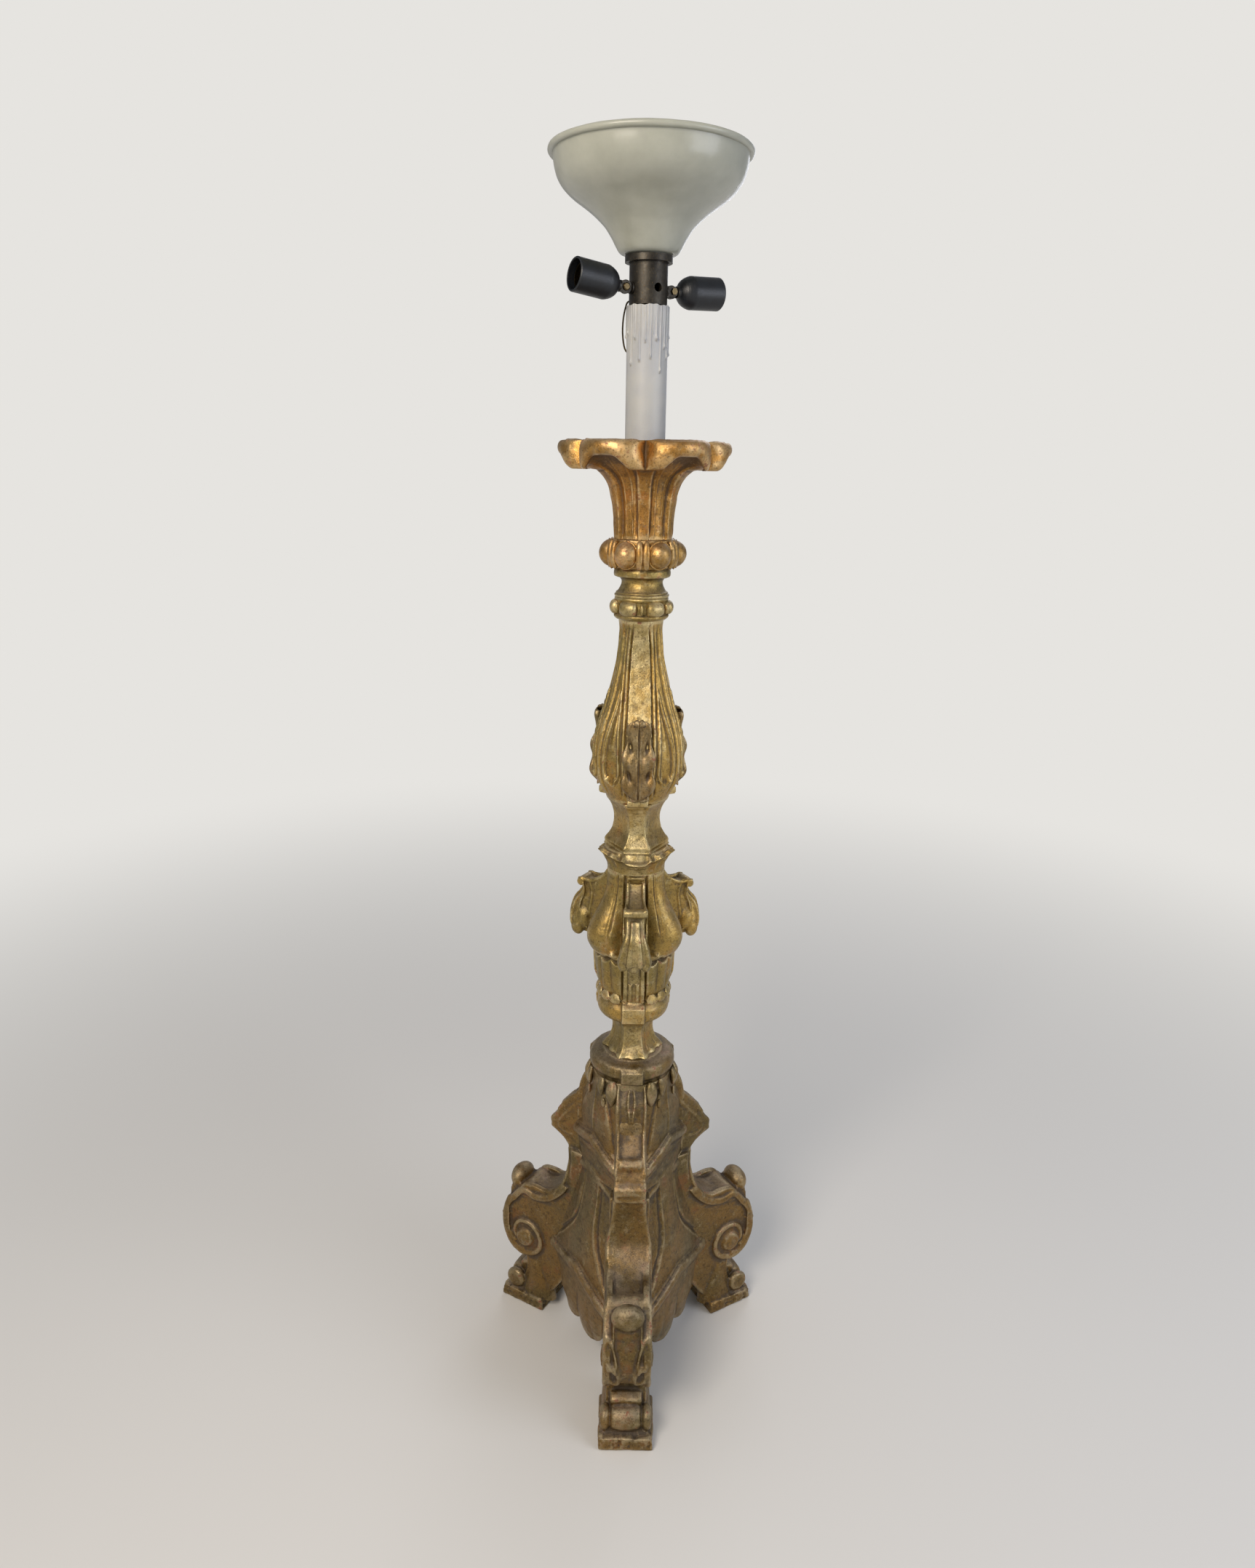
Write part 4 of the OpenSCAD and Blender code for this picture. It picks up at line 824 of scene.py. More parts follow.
def strap_shells():
    """Strap and lip: a board hollowed between two raised edges that flare down to the lip, a tear
    drop slot at the top, and a roll across the lip."""
    face = lip_face()
    share = np.linspace(0, 1, len(face))
    sunk = beside(face, 2.6 * hump(0.0, 0.05, 0.44, 0.5, share))
    behind = [[NECK_R, LEG_TOP - 2], [NECK_R, LEG_TOP - 60], [SEAT_R, LEG_TOP - 60]]
    core = board(np.vstack([[[SEAT_R, COLLAR]], sunk, behind])[::-1], LIP_HALF - 1.5, 2.0)
    out = track([[0, 20], [0.3, 21.5], [0.6, 19.5], [0.85, 20.5], [1, 22.4]], np.linspace(0, 1, 60))
    edge = strip(beside(evenly(face[:40], 60), 1.4), out, 2.4, 2.6, 12)
    hollow = path([[-62, -78], [-44, -98], [-24, -122], [-16, -140], [-26, -150], [-44, -150]], 6)
    hollow = strip(hollow + (LIP_R, COLLAR), LIP_HALF - 1.5, 1.8, 2.6)
    y = LIP_ROLL_R - LIP_R
    roll = rope([[1 - LIP_HALF, y, COLLAR - 137], [0, y - 0.5, COLLAR - 136.5],
                 [LIP_HALF - 1, y, COLLAR - 137]], LIP_ROLL_R, LIP_ROLL_R, ALONG, 28)
    ledge = board(np.array([[-34, -113], [-17, -107], [-18.5, -100], [-24.5, -94], [-34, -93]])
                  + (LIP_R, COLLAR), 17, 1.5)
    across, down = path([[0.8, 8], [2.8, 16], [3.4, 26], [1.8, 38], [0.7, 47], [0.4, 54]], 6).T
    front = np.interp(down, COLLAR - face[:30, 1], face[:30, 0])
    drop = [rope(np.stack([side * (across + 1.8), 2.0 - front, COLLAR - down], 1), 1.2, 2.6, ACROSS, 8)
            for side in (-1, 1)]
    return [core, roll, ledge] + both([edge, hollow]) + drop


def scroll_shells():
    """Scroll of a leg: plain sides, the hollow panel over the shelf and down the front, the two
    rims that border it, the volutes with their eyes, and the shin."""
    neck, foot = [[SEAT_R, LEG_TOP - 2]], shin()
    middle = board(np.vstack([neck, scroll_face(0, RIM_DEPTH), foot])[::-1], SHELF_HALF + 1, 1.5)
    sides = board(np.vstack([neck, scroll_face(8, RIM_BAND - 2), foot])[::-1], LEG_HALF, 2.0)
    rim = scroll_face(5, 0)
    rim = evenly(rim[rim[:, 1] < SHELF + 40], 90)
    share = np.linspace(0, 1, 90)
    band = np.vstack([rim, beside(rim, RIM_BAND - 2 + 1.5 * np.sin(3 * np.pi * share))[::-1]])
    neck_rim = scroll_face(1, 0)
    neck_rim = evenly(neck_rim[(neck_rim[:, 1] > SHELF + 16) & (neck_rim[:, 0] < EYE[0] - 30)], 40)
    climb = ease(0.2, 0.85, np.linspace(0, 1, 40))
    bands = [board(band[::-1], 5.4, 2.2, RIM_HALF - 5.4),
             strip(beside(neck_rim, 2.6), 23.8 + 6.8 * climb, 2.6 + 2.6 * climb, 3.6, 14)]
    bead = strip(beside(rim, 1.2), RIM_HALF - 10.0 + 1.2 * share, 1.8, 2.2, 8)
    top = path([[-62, 20], [-40, 7], [-18, 8], [2, 4], [16, -12]], 8)
    crest = np.vstack([top, [[8, -24], [-58, -12]]])[::-1] + (EYE[0], SHELF)
    crest = board(crest, 5.0, 2.4, RIM_HALF - 8.5)
    coil = volute(6.0)
    whorl = strip(coil, VOLUTE_HALF - 7.4, 4.4, np.linspace(6.4, 3.4, len(coil)), 14)
    disc = board(volute(8)[:46][::-1], VOLUTE_HALF - 6.5, 1.5)
    turn = np.linspace(2.4, 7.6, 30)
    ring = EYE + 13.5 * np.stack([np.cos(turn), np.sin(turn)], 1)
    eye = [ball((VOLUTE_HALF - 8, -EYE[0], EYE[1]), (8.5, EYE_R, EYE_R), 16, 30),
           strip(ring, VOLUTE_HALF - 2.2, 1.5, 1.6, 8)]
    shank = path([[-16, 92], [-20, 66], [-22, 44], [-20, PAD_T]], 6) + (EYE[0], 0)
    flare = strip(shank, LEG_HALF - 9, np.linspace(11, 17, 19), np.linspace(18, 36, 19), 20)
    return [middle, sides] + both(bands + [bead, crest, whorl] + eye + [flare]) + [disc]


def leaf_shells():
    """Leaf down the front of the scroll over its full width: a sunk field with a double midrib
    under an egg, and beside it two hollow lobes a side, each in a raised edge. s runs down the
    leaf and v across it."""
    face = scroll_face(0, RIM_DEPTH)
    below = (face[:, 1] < SHELF - 6) & (face[:, 1] > EYE[1] - 22) & (face[:, 0] > EYE[0])
    mid = evenly(face[below], 90)
    s, v = np.linspace(0, 1, 90)[:, None], np.linspace(-1, 1, 61)[None]
    x, across = LEAF_HALF * v, LEAF_HALF * np.abs(v)
    inner = track([[0, 21], [0.35, 20], [0.6, 13], [0.85, 7], [1, 4]], s)
    out = -3.6 * ease(inner, inner - 3, across) + 1.8 * bell(across - inner - 0.8, 1.5)
    out += 1.3 * bell(across - 2.0, 1.2) * ease(1.0, 0.9, s)
    for at, middle, long, wide in ((0.47, 25.5, 0.25, 9.5), (0.76, 21.0, 0.22, 9.5)):
        lean = (across - middle + 26 * (s - at)) / wide
        off = np.sqrt(((s - at) / long) ** 2 + lean**2)
        out += 4.4 * ease(1.12, 0.85, off) - 6.0 * ease(0.74, 0.3, off)
    out -= 3.0 * ease(0.93, 1.0, s) + 2.5 * ease(31, 36, across)
    out += 14.0 * ease(0.4, 0.1, s) * ease(inner + 4, inner - 1, across)
    front = out + LEAF_PROUD
    egg = ball((0, -(EYE[0] + 28), SHELF - 6), (25, EGG_R - 1, EGG_R + 2.5), 22, 36)
    return [leaf_skin(mid, x, front, front - LEAF_T), egg]


def foot_shells():
    """Toe and pad: a round roll between two smaller ones over a worn pad."""
    u, z = FOOT_R - 25, PAD_T + TOE_R + 4
    x = np.linspace(-22, 22, 15)
    barrel = roller(x, u, z, (TOE_R + 3.5) * (0.74 + 0.26 * dome(x / 22.5)), 30)
    x = np.linspace(26, 38.5, 9)
    drum = roller(x, u, z - 1, (TOE_R + 2) * (0.6 + 0.4 * dome((x - 32) / 7)), 28)
    neck = roller(np.array([-30, 30]), u, z - 1, TOE_R - 3, 22)
    saddle = board(path([[u - 14, 74], [u - 2, 66], [u - 10, 50], [u - 26, 40], [u - 34, 60],
                         [u - 14, 74]], 4)[::-1], 24, 3)
    tongue = board([[u - 30, PAD_T - 2], [u + 14, PAD_T - 2], [u + 9, PAD_T + 7], [u - 30, PAD_T + 12]],
                   33, 3)
    heel = FOOT_R - PAD_L
    pad = board([[heel, 1.0], [heel, 0.0], [FOOT_R - 1, 0.0], [FOOT_R, 2.0], [FOOT_R - 1, PAD_T - 1],
                 [FOOT_R - 4, PAD_T], [heel + 4, PAD_T], [heel, PAD_T - 4]], PAD_W / 2, 2.0)
    return [barrel] + both([drum]) + [neck, saddle, tongue, pad]


def worn_pad(shell, seed):
    """Wear at the foot: the pad's sides above the floor are chipped by slow waves, and its
    underside stays flat on the floor."""
    points, faces = shell
    quads = corners_of(faces)
    n = normals_of(points, quads)
    low = (1 - ease(PAD_T - 2, PAD_T + 8, points[:, 2])) * ease(0.2, 3, points[:, 2])
    chips = np.minimum(tool_marks(points * (3.2, 3.2, 2.2), seed, 1.6), 0.2)
    moved = points + n * (chips * low)[:, None]
    moved[:, 2] = np.maximum(moved[:, 2], 0)
    return moved, faces


leg_shells = strap_shells() + scroll_shells() + leaf_shells() + foot_shells()
leg_points, leg_faces = melted(leg_shells, LEG_VOXEL)
leg_shell = worn_pad((smoothed(leg_points, leg_faces, 1), leg_faces), 41)
# the darker leaf on the base and legs is partly painted shade, for the dimmer light low down
carve("carved_base_body", base_shell(), gilt_dark, ["base_body"], 11, 0.5)
for leg_seed, (side_name, side_az) in enumerate(SIDES.items(), 21):
    carve("carved_leg_" + side_name, spun(leg_shell, side_az), gilt_dark, ["leg_" + side_name],
          leg_seed, 0.35)

# ---------- carved sections of the stem ----------
BALUSTER_R, BALUSTER_NECK = 65.0, 29.0
COLLAR_R, LOWER_RING_R = 66.0, 55.0
NECK_WAIST, SPOOL_WAIST = 29.0, 33.0
VASE_R, VASE_WAIST = 74.0, 48.0
BRACKET_R, BRACKET_HALF, BRACKET_VOXEL = 106.0, 13.0, 1.1
RUFFLE_R = 42.0
BEAD_AT, BEAD_HALF = 34.7, 13.2                     # the beads' distance and half length
CUP_FOOT_R, NOTCH_R, LOBE_R = 42.0, 94.0, 115.0     # the cup's foot, and its lip at notch and lobe
LIP_SHARE = 0.7                     # share of the cup's height where its lip starts
PAN_DEPTH = 19.0
END_SHARES = (0.1, 0.6, 0.94)       # rows that close a section's end, as shares of its radius


def section(low, high, radius, rows, columns):
    """A carved section as a ring grid: radius(f, t) in mm, where f runs from its foot (0) to its top
    (1) and t is the azimuth from the nearest strap. Both ends are closed inwards over the
    spigots."""
    f = (np.arange(rows) / (rows - 1))[:, None]
    az = (np.arange(columns) * 360 / columns)[None]
    r = radius(f, from_strap(az)) + 0 * f + 0 * az
    foot = [polar(az, r[:1] * share, low) for share in END_SHARES]
    head = [polar(az, r[-1:] * share, high) for share in END_SHARES[::-1]]
    return skin(np.concatenate(foot + [polar(az, r, low + f * (high - low))] + head))


def turned_profile(stations):
    """Radius of a plainly turned section, from [share of its height, radius] stations."""
    return lambda f, t: track(stations, f)


def faceted(narrow, wide, t):
    """Six faces: narrow ones under the straps and wide ones between, each at its distance from the
    stem, met by a rounded arris."""
    a = narrow / np.cos(np.radians(t))
    b = wide / np.cos(np.radians(60 - t))
    soft = 1.2
    k = np.clip(0.5 + 0.5 * (b - a) / soft, 0, 1)
    return b * (1 - k) + a * k - soft * k * (1 - k)


def baluster_body(f):
    """Radius of the pear-shaped body under its carving."""
    n, b = BALUSTER_NECK, BALUSTER_R
    return track([[0, b - 22], [0.05, b - 15], [0.12, b - 5], [0.19, b - 0.5], [0.27, b], [0.36, b - 3],
                  [0.45, b - 9], [0.55, n + 18], [0.68, n + 9], [0.8, n + 3], [0.93, n], [1, n + 2]], f)


def baluster_radius(f, t):
    """Pear-shaped body. A flat strip runs down under each leaf; beside it are a groove, a reed and a
    second groove; then comes a tear-shaped sunk petal with a raised border that ends in two curls,
    and a reed half way between the strips."""
    body = baluster_body(f)
    half = track([[0, 14], [0.3, 17.5], [0.45, 16.5], [0.62, 15], [0.8, 12.8], [0.93, 10.2],
                  [1, 9.6]], f)
    edge = np.degrees(np.arcsin(half / body))
    deg = np.degrees(1 / body)
    flat = body * np.cos(np.radians(edge)) / np.cos(np.radians(np.minimum(t, edge))) + 1.0
    fluting = ease(1.0, 0.9, f) * ease(0.03, 0.09, f)
    d = (t - edge) / deg
    reeds = -3.0 * bell(d - 1.4, 1.5) + 1.2 * bell(d - 5.0, 1.8)
    reeds -= 2.2 * bell(d - 8.6, 1.3)
    between = (60 - t) / deg
    reeds += 1.4 * bell(between, 2.6) - 2.0 * bell(between - 5.2, 1.6)
    middle = 38 - 2 * ease(0.3, 0.6, f)
    wide = 11.5 * np.sqrt(ease(0.105, 0.2, f)) * (1 - ease(0.2, 0.66, f)) ** 0.75 + 0.01
    off = np.abs(t - middle) / deg
    room = wide / deg
    petal = ease(0.105, 0.15, f) * ease(0.66, 0.6, f)
    border = 1.9 * bell(off - room, 1.3) - 1.5 * bell(off - room - 3, 1.3)
    sunk = -3.2 * ease(0.5, -1.5, off - room) + 1.4 * bell(off, 2.2) * ease(0.2, 0.5, f)
    curls = 4.5 * bell(off - 7, 2.6) * bell(f - 0.15, 0.018)
    r = body + fluting * (reeds + petal * (border + sunk) + curls)
    return np.where(t < edge, flat, np.minimum(r, np.where(t < edge + 1.5 * deg, flat + 0.2, r)))


def baluster_leaf():
    """Leaf up the strip that hugs the body and leans out at its rolled tip, and the block under it."""
    crest = path([[61, 12], [66.5, 20], [69.5, 31], [70.5, 44], [70.5, 58], [69.5, 72], [67.8, 86],
                  [66, 98], [65.2, 109], [66.3, 118], [66.5, 124], [63.5, 127.5], [60.5, 125]], 6)
    half = track([[0, 15], [0.12, 22], [0.35, 25], [0.6, 22.5], [0.8, 18.5], [0.9, 16], [0.97, 11],
                  [1, 4]], np.linspace(0, 1, 96))
    block = np.array([[44, 0.5], [55, 0.5], [57.5, 3], [57.2, 10], [55, 12.5], [44, 12.5]])
    return (leaf_blade(evenly(crest + (0, BALUSTER), 96), half, 3, 2.6, 9.0),
            board(block + (0, BALUSTER), 14.6, 1.4))


def torus_profile(radius, foot, head):
    """Radius of a torus that rises from a foot radius and falls to a head radius."""
    return turned_profile([[0, foot], [0.07, foot + 1], [0.16, radius - 5], [0.34, radius - 0.8],
                           [0.5, radius], [0.66, radius - 1], [0.84, radius - 5.5],
                           [0.94, head + 1.5], [1, head]])


def strap_block(r, low, high, half):
    """Block of a strap that wraps over a ring: a board with rounded corners and a lower bevel."""
    return board([[r - 16, low], [r - 3, low], [r + 1.2, low + 4], [r + 2.5, (low + high) / 2],
                  [r + 1.0, high - 5], [r - 5, high], [r - 16, high]], half, 1.6)


def collar_shells():
    """Ring on the base: a torus and the three blocks of the straps that wrap over it."""
    body = section(COLLAR, NECK, torus_profile(COLLAR_R, TOP_R - 2, 47), 40, 300)
    return [body] + thrice([strap_block(COLLAR_R, COLLAR + 1, COLLAR + 28, 17)])


def bud_shells():
    """Pointed buds that hang under the collar beside each strap, with a smaller leaf outside them
    and a drop below that."""
    buds = []
    for az, fat, start, drop in ((27, 9.5, 4, 42), (44, 6.5, 4, 30), (40, 4.0, -30, 16)):
        u = np.linspace(0, 1, 24)
        z = COLLAR + start - drop * u
        r = TOP_R + np.interp(COLLAR - z, [-4, 10, 30, 60], [2, 6, 5, 5])
        wide = fat * track([[0, 0.5], [0.2, 0.85], [0.45, 1], [0.7, 0.82], [0.88, 0.45], [1, 0.06]], u)
        buds.append(rope(polar(az, r, z), wide, 0.62 * wide, across_at(az), 18))
    return buds


def lower_neck_radius(f, t):
    """Flared six-faced neck whose foot spreads over the collar in scallops."""
    wide_share = 0.89
    narrow = NECK_WAIST + track([[0, 15], [0.08, 11.5], [0.22, 5.5], [0.4, 1.5], [0.6, 0],
                                 [0.78, 1.2], [0.9, 4], [1, 9]], f)
    r = faceted(narrow, wide_share * narrow, t)
    edge = np.degrees(np.arctan((1 / wide_share - 0.5) / math.sin(math.pi / 3)))
    line = -0.9 * bell(t - edge - 4.5, 1.6) * (1 - 0.4 * f)
    foot = (1.8 * np.cos(np.radians(12 * t)) - 0.6) * ease(0.16, 0.0, f)
    return r + line + foot


def lower_ring_shells():
    """Torus under the vase with its strap blocks and a row of small curled leaves on top."""
    body = section(LOWER_RING, VASE, torus_profile(LOWER_RING_R, 40, 47), 44, 264)
    parts = [strap_block(LOWER_RING_R, LOWER_RING + 5, VASE - 5, 17)]
    r, z = np.array([[51, 13], [53.5, 8], [55.4, 2.5], [54.8, -2.0], [52, -4.5]]).T
    for az in (30, -30, 50, -50):
        line = path(polar(az, r, VASE + z), 4)
        bulge = dome(np.linspace(-1, 1, len(line)))
        parts.append(rope(line, 9.4 * bulge**1.4 + 0.3, 2.2 * bulge + 0.3, across_at(az), 12))
    return [body] + thrice(parts)


def vase_radius(f, t):
    """Lobed vase: a reeded lower part, onion lobes between the brackets that swell and draw into a
    keel above, and a channel beside each bracket's strap."""
    core = track([[0, 48], [0.1, 56], [0.35, 60], [0.45, 54], [0.62, 48], [0.8, 42], [1, 42]], f)
    lobe = track([[0, 0], [0.34, 0], [0.4, 0.5], [0.46, 0.88], [0.54, 1], [0.64, 0.78], [0.78, 0.36],
                  [0.92, 0.08], [1, 0]], f)
    start = np.degrees(np.arcsin(16.5 / core))
    s = np.clip((t - start) / (60 - start), 0, 1)
    swell = (VASE_R - VASE_WAIST) * lobe * np.sin(np.pi / 2 * s) ** 1.15
    reeds = 3.4 * np.abs(np.sin(np.pi * (s * 1.75 + 0.125))) ** 0.8 - 2.8
    reeds = reeds * ease(0.385, 0.33, f) * ease(0.02, 0.12, f)
    keel = -(2.6 * bell(s - 0.42, 0.035) + 1.2 * bell(s - 0.5, 0.03)) * ease(0.5, 0.62, f)
    scallop = 0.028 * np.abs(np.sin(np.pi * s * 2))
    under = -5.5 * hump(0.335, 0.352, 0.362, 0.392, f + scallop) * ease(0.02, 0.1, s)
    tip = 5.5 * bell(s - 0.3, 0.11) * bell(f - 0.4, 0.028)
    channel = -5 * (1 - ease(0.0, 0.07, s))
    return core + swell + reeds + keel + under + tip + channel


def bracket_shells():
    """Scroll bracket: a strap that curls out in a hollow shelf between two rims, swells into a
    reeded tongue and tucks back under, then a plain strap with a narrow slot down to the ring."""
    reach, top = BRACKET_R, RUFFLE

    def beneath(points):
        return path(points, 6) + (reach, top)

    upper = beneath([[-64, -10], [-56, -21], [-44, -29], [-32, -33], [-21, -31]])
    outer = beneath([[-13, -36], [-20, -47], [-15, -58], [-6, -69], [-1.5, -82], [0, -96], [-2.5, -109],
                     [-9.5, -118], [-22, -122], [-34, -124], [-42, -132]])
    strap = [[62, VASE + 60], [60, VASE + 20], [52, VASE + 4], [50, VASE]]
    back = [[39, VASE], [39, top - 2], [reach - 66, top - 3]]
    core = board(np.vstack([back, beside(upper, 3.5), beside(outer, 1.5), strap])[::-1],
                 BRACKET_HALF, 1.6)
    shelf = evenly(np.vstack([upper, [[reach - 14, top - 33]]]), 40)
    spread = ease(0.3, 1, np.linspace(0, 1, 40))
    rim = strip(beside(shelf, 1.8), 11.4 + 3.2 * spread, 2.4, 3.0)
    x = np.linspace(-17.5, 17.5, 13)
    roll = roller(x, reach - 19, top - 38.5, 7.2 * (0.72 + 0.28 * dome(x / 18)), 24)
    tongue = evenly(outer[8:44], 44)
    u = np.linspace(0, 1, 44)
    wide = 12.5 + 9.5 * ease(0.1, 0.85, u) - 5 * ease(0.9, 1, u)
    blade = strip(beside(tongue, 14.0), 0, wide + 1.0, 16.5, 40)
    belly = ball((0, 21 - reach, top - 99), (22, 19, 25), 24, 32)
    outer_curl = beneath([[-24, -40], [-26, -54], [-20, -70], [-17, -88], [-22, -104], [-32, -112]])
    inner_curl = beneath([[-34, -36], [-38, -52], [-36, -70], [-33, -88], [-38, -106]])
    curls = [strip(outer_curl, 16.5, 1.6, 1.6, 8), strip(inner_curl, 12.5, 2.2, 2.6)]
    inner = tongue[1:40]
    reeds = [strip(beside(inner, deep), share * wide[1:40], 0.2 * wide[1:40], 2.6, 12)
             for share, deep in ((0.34, -1.6), (0.82, 4.2))]
    rib = strip(beside(inner, -2.2), 1.3, 0.8, 1.6, 8)
    tips = [ball((16, 15 - reach, top - 112), (8.5, 11, 14), 16, 20),
            ball((0, 12.5 - reach, top - 114), (8.5, 11, 14), 16, 20)]
    edges = [strip(np.array([[50.5, 1], [53, 5], [60.5, 20], [62.5, 62]]) + (0, VASE), 12.5, 3.2, 2.6),
             strip(np.array([[53.5, 5], [58.5, 16], [61.5, 30], [62, 36]]) + (0, VASE), 5.4, 2.6, 2.4)]
    return [core, roll, blade, belly] + both([rim] + reeds + [rib] + tips + edges + curls)


def ruffle_radius(f, t):
    """Collar that flares out in a thick scalloped edge, rolled over at its top, with a plain folded
    band in front of each strap and the widest petals half way between the straps."""
    out = track([[0, 0], [0.25, 0.12], [0.5, 0.5], [0.63, 0.9], [0.7, 1.02], [0.8, 0.98], [0.9, 0.7],
                 [1, 0.3]], f)
    beat = track([[0, 0], [0.25, 0], [0.5, 0.4], [0.66, 1], [0.82, 1], [1, 0.2]], f)
    petals = 1.9 * np.cos(np.radians(18 * t - 1080)) * ease(16, 24, t) + 3.5 * ease(30, 60, t)
    folds = -1.6 * np.abs(np.sin(np.radians(9 * t))) * hump(0.1, 0.35, 0.6, 0.66, f) * ease(16, 22, t)
    rim = 2.6 * bell(f - 0.74, 0.055)
    band = hump(0.3, 0.4, 0.66, 0.76, f) * ease(21, 17, t)
    crack = -2.2 * bell(t, 1.6) * hump(0.34, 0.45, 0.6, 0.7, f)
    return RUFFLE_R + 9.5 * out + beat * petals + folds + rim + band * (4.0 - 0.01 * t**2) + crack


def ruffle_shell():
    """The ruffle's grid, its edge lifted at the petals' tips and lowered at the folded bands."""
    points, faces = section(RUFFLE, SPOOL, ruffle_radius, 90, 360)
    t = from_strap(azimuth_of(points))
    f = (points[:, 2] - RUFFLE) / (SPOOL - RUFFLE)
    edge = hump(0.4, 0.68, 0.84, 0.97, f)
    waves = 1.6 * np.cos(np.radians(18 * t)) * ease(16, 24, t)
    lift = (6.5 * ease(26, 60, t) - 3.5 * ease(24, 14, t) + waves) * edge
    return points + lift[:, None] * UP, faces


def spool_radius(f, t):
    """Six-faced waisted spool with a sharp step above its foot."""
    flare = track([[0, 12], [0.07, 11.5], [0.13, 10], [0.2, 6.5], [0.26, 4.2], [0.35, 1.6], [0.55, 0],
                   [0.72, 1.2], [0.86, 5], [0.94, 8.5], [1, 10]], f)
    r = faceted(SPOOL_WAIST + flare, 0.78 * (SPOOL_WAIST + flare) + flare / 3, t)
    return r - 1.2 * hump(0.0, 0.03, 0.05, 0.1, f)


# Turned core of the bead ring: a fillet at its foot, a hollow behind the beads and a top fillet
bead_core = turned_profile([[0, 34.5], [0.1, 37.6], [0.2, 37.6], [0.26, 34.5], [0.5, 35.5], [0.8, 35.5],
                            [0.88, 37], [0.96, 37], [1, 36.2]])
# Hollow neck between two fillets, the upper one wider, with a thin double line at the foot
disc_neck = turned_profile([[0, 36.2], [0.03, 37], [0.09, 37.2], [0.12, 35.2], [0.16, 35.6], [0.2, 33.2],
                            [0.3, 30.6], [0.42, 28.6], [0.54, 28.2], [0.62, 29.6], [0.67, 32],
                            [0.7, 36.6], [0.74, 38.3], [0.88, 38.4], [0.95, 37.4], [1, 35.8]])
gadroon_core = turned_profile([[0, 37], [0.15, 40], [0.5, 44], [0.85, 42.5], [1, 42]])


def bead_shells():
    """Core, six oblong beads and a small pointed filler between each two."""
    parts = [section(BEADS, DISC, bead_core, 50, 240)]
    middle = BEADS + 16
    v = np.linspace(-1, 1, 17)
    for az in range(0, 360, 60):
        line = polar(az + 30, BEAD_AT, middle) + v[:, None] * BEAD_HALF * across_at(az + 30)
        parts.append(rope(line, 0.6 + 10.2 * dome(v) ** 0.55, 0.6 + 9.2 * dome(v) ** 0.6, UP, 20))
        parts.append(spun(ball((0, -38.2, middle), (2.6, 4.0, 7.5), 12, 12), az))
    return parts


def gadroon_shells():
    """Core, six round gadroons each in a thin raised rim, and reeds between them."""
    parts = [section(GADROON, CUP, gadroon_core, 36, 240)]
    middle = (GADROON + CUP) / 2
    turn = np.linspace(0, 2 * np.pi, 40)
    rim = np.stack([17.6 * np.sin(turn), 0 * turn - 45.0, middle + 18.0 * np.cos(turn)], 1)
    gadroon = [ball((0, -40.5, middle), (17.0, 18.8, 18.4), 26, 40), rope(rim, 1.3, 1.3, ALONG, 8)]
    bow = dome(np.linspace(-0.97, 0.97, 19))
    reed = np.stack([41.5 + 7 * bow, middle + 17.2 * np.linspace(-1, 1, 19)], 1)
    reeds = [strip(reed, off, 4.6 * bow**0.5 + 0.3, 3.4, 12) for off in (-4.6, 4.6)]
    for az in range(0, 360, 60):
        parts += [spun(shell, az + 30) for shell in gadroon] + [spun(shell, az) for shell in reeds]
    return parts


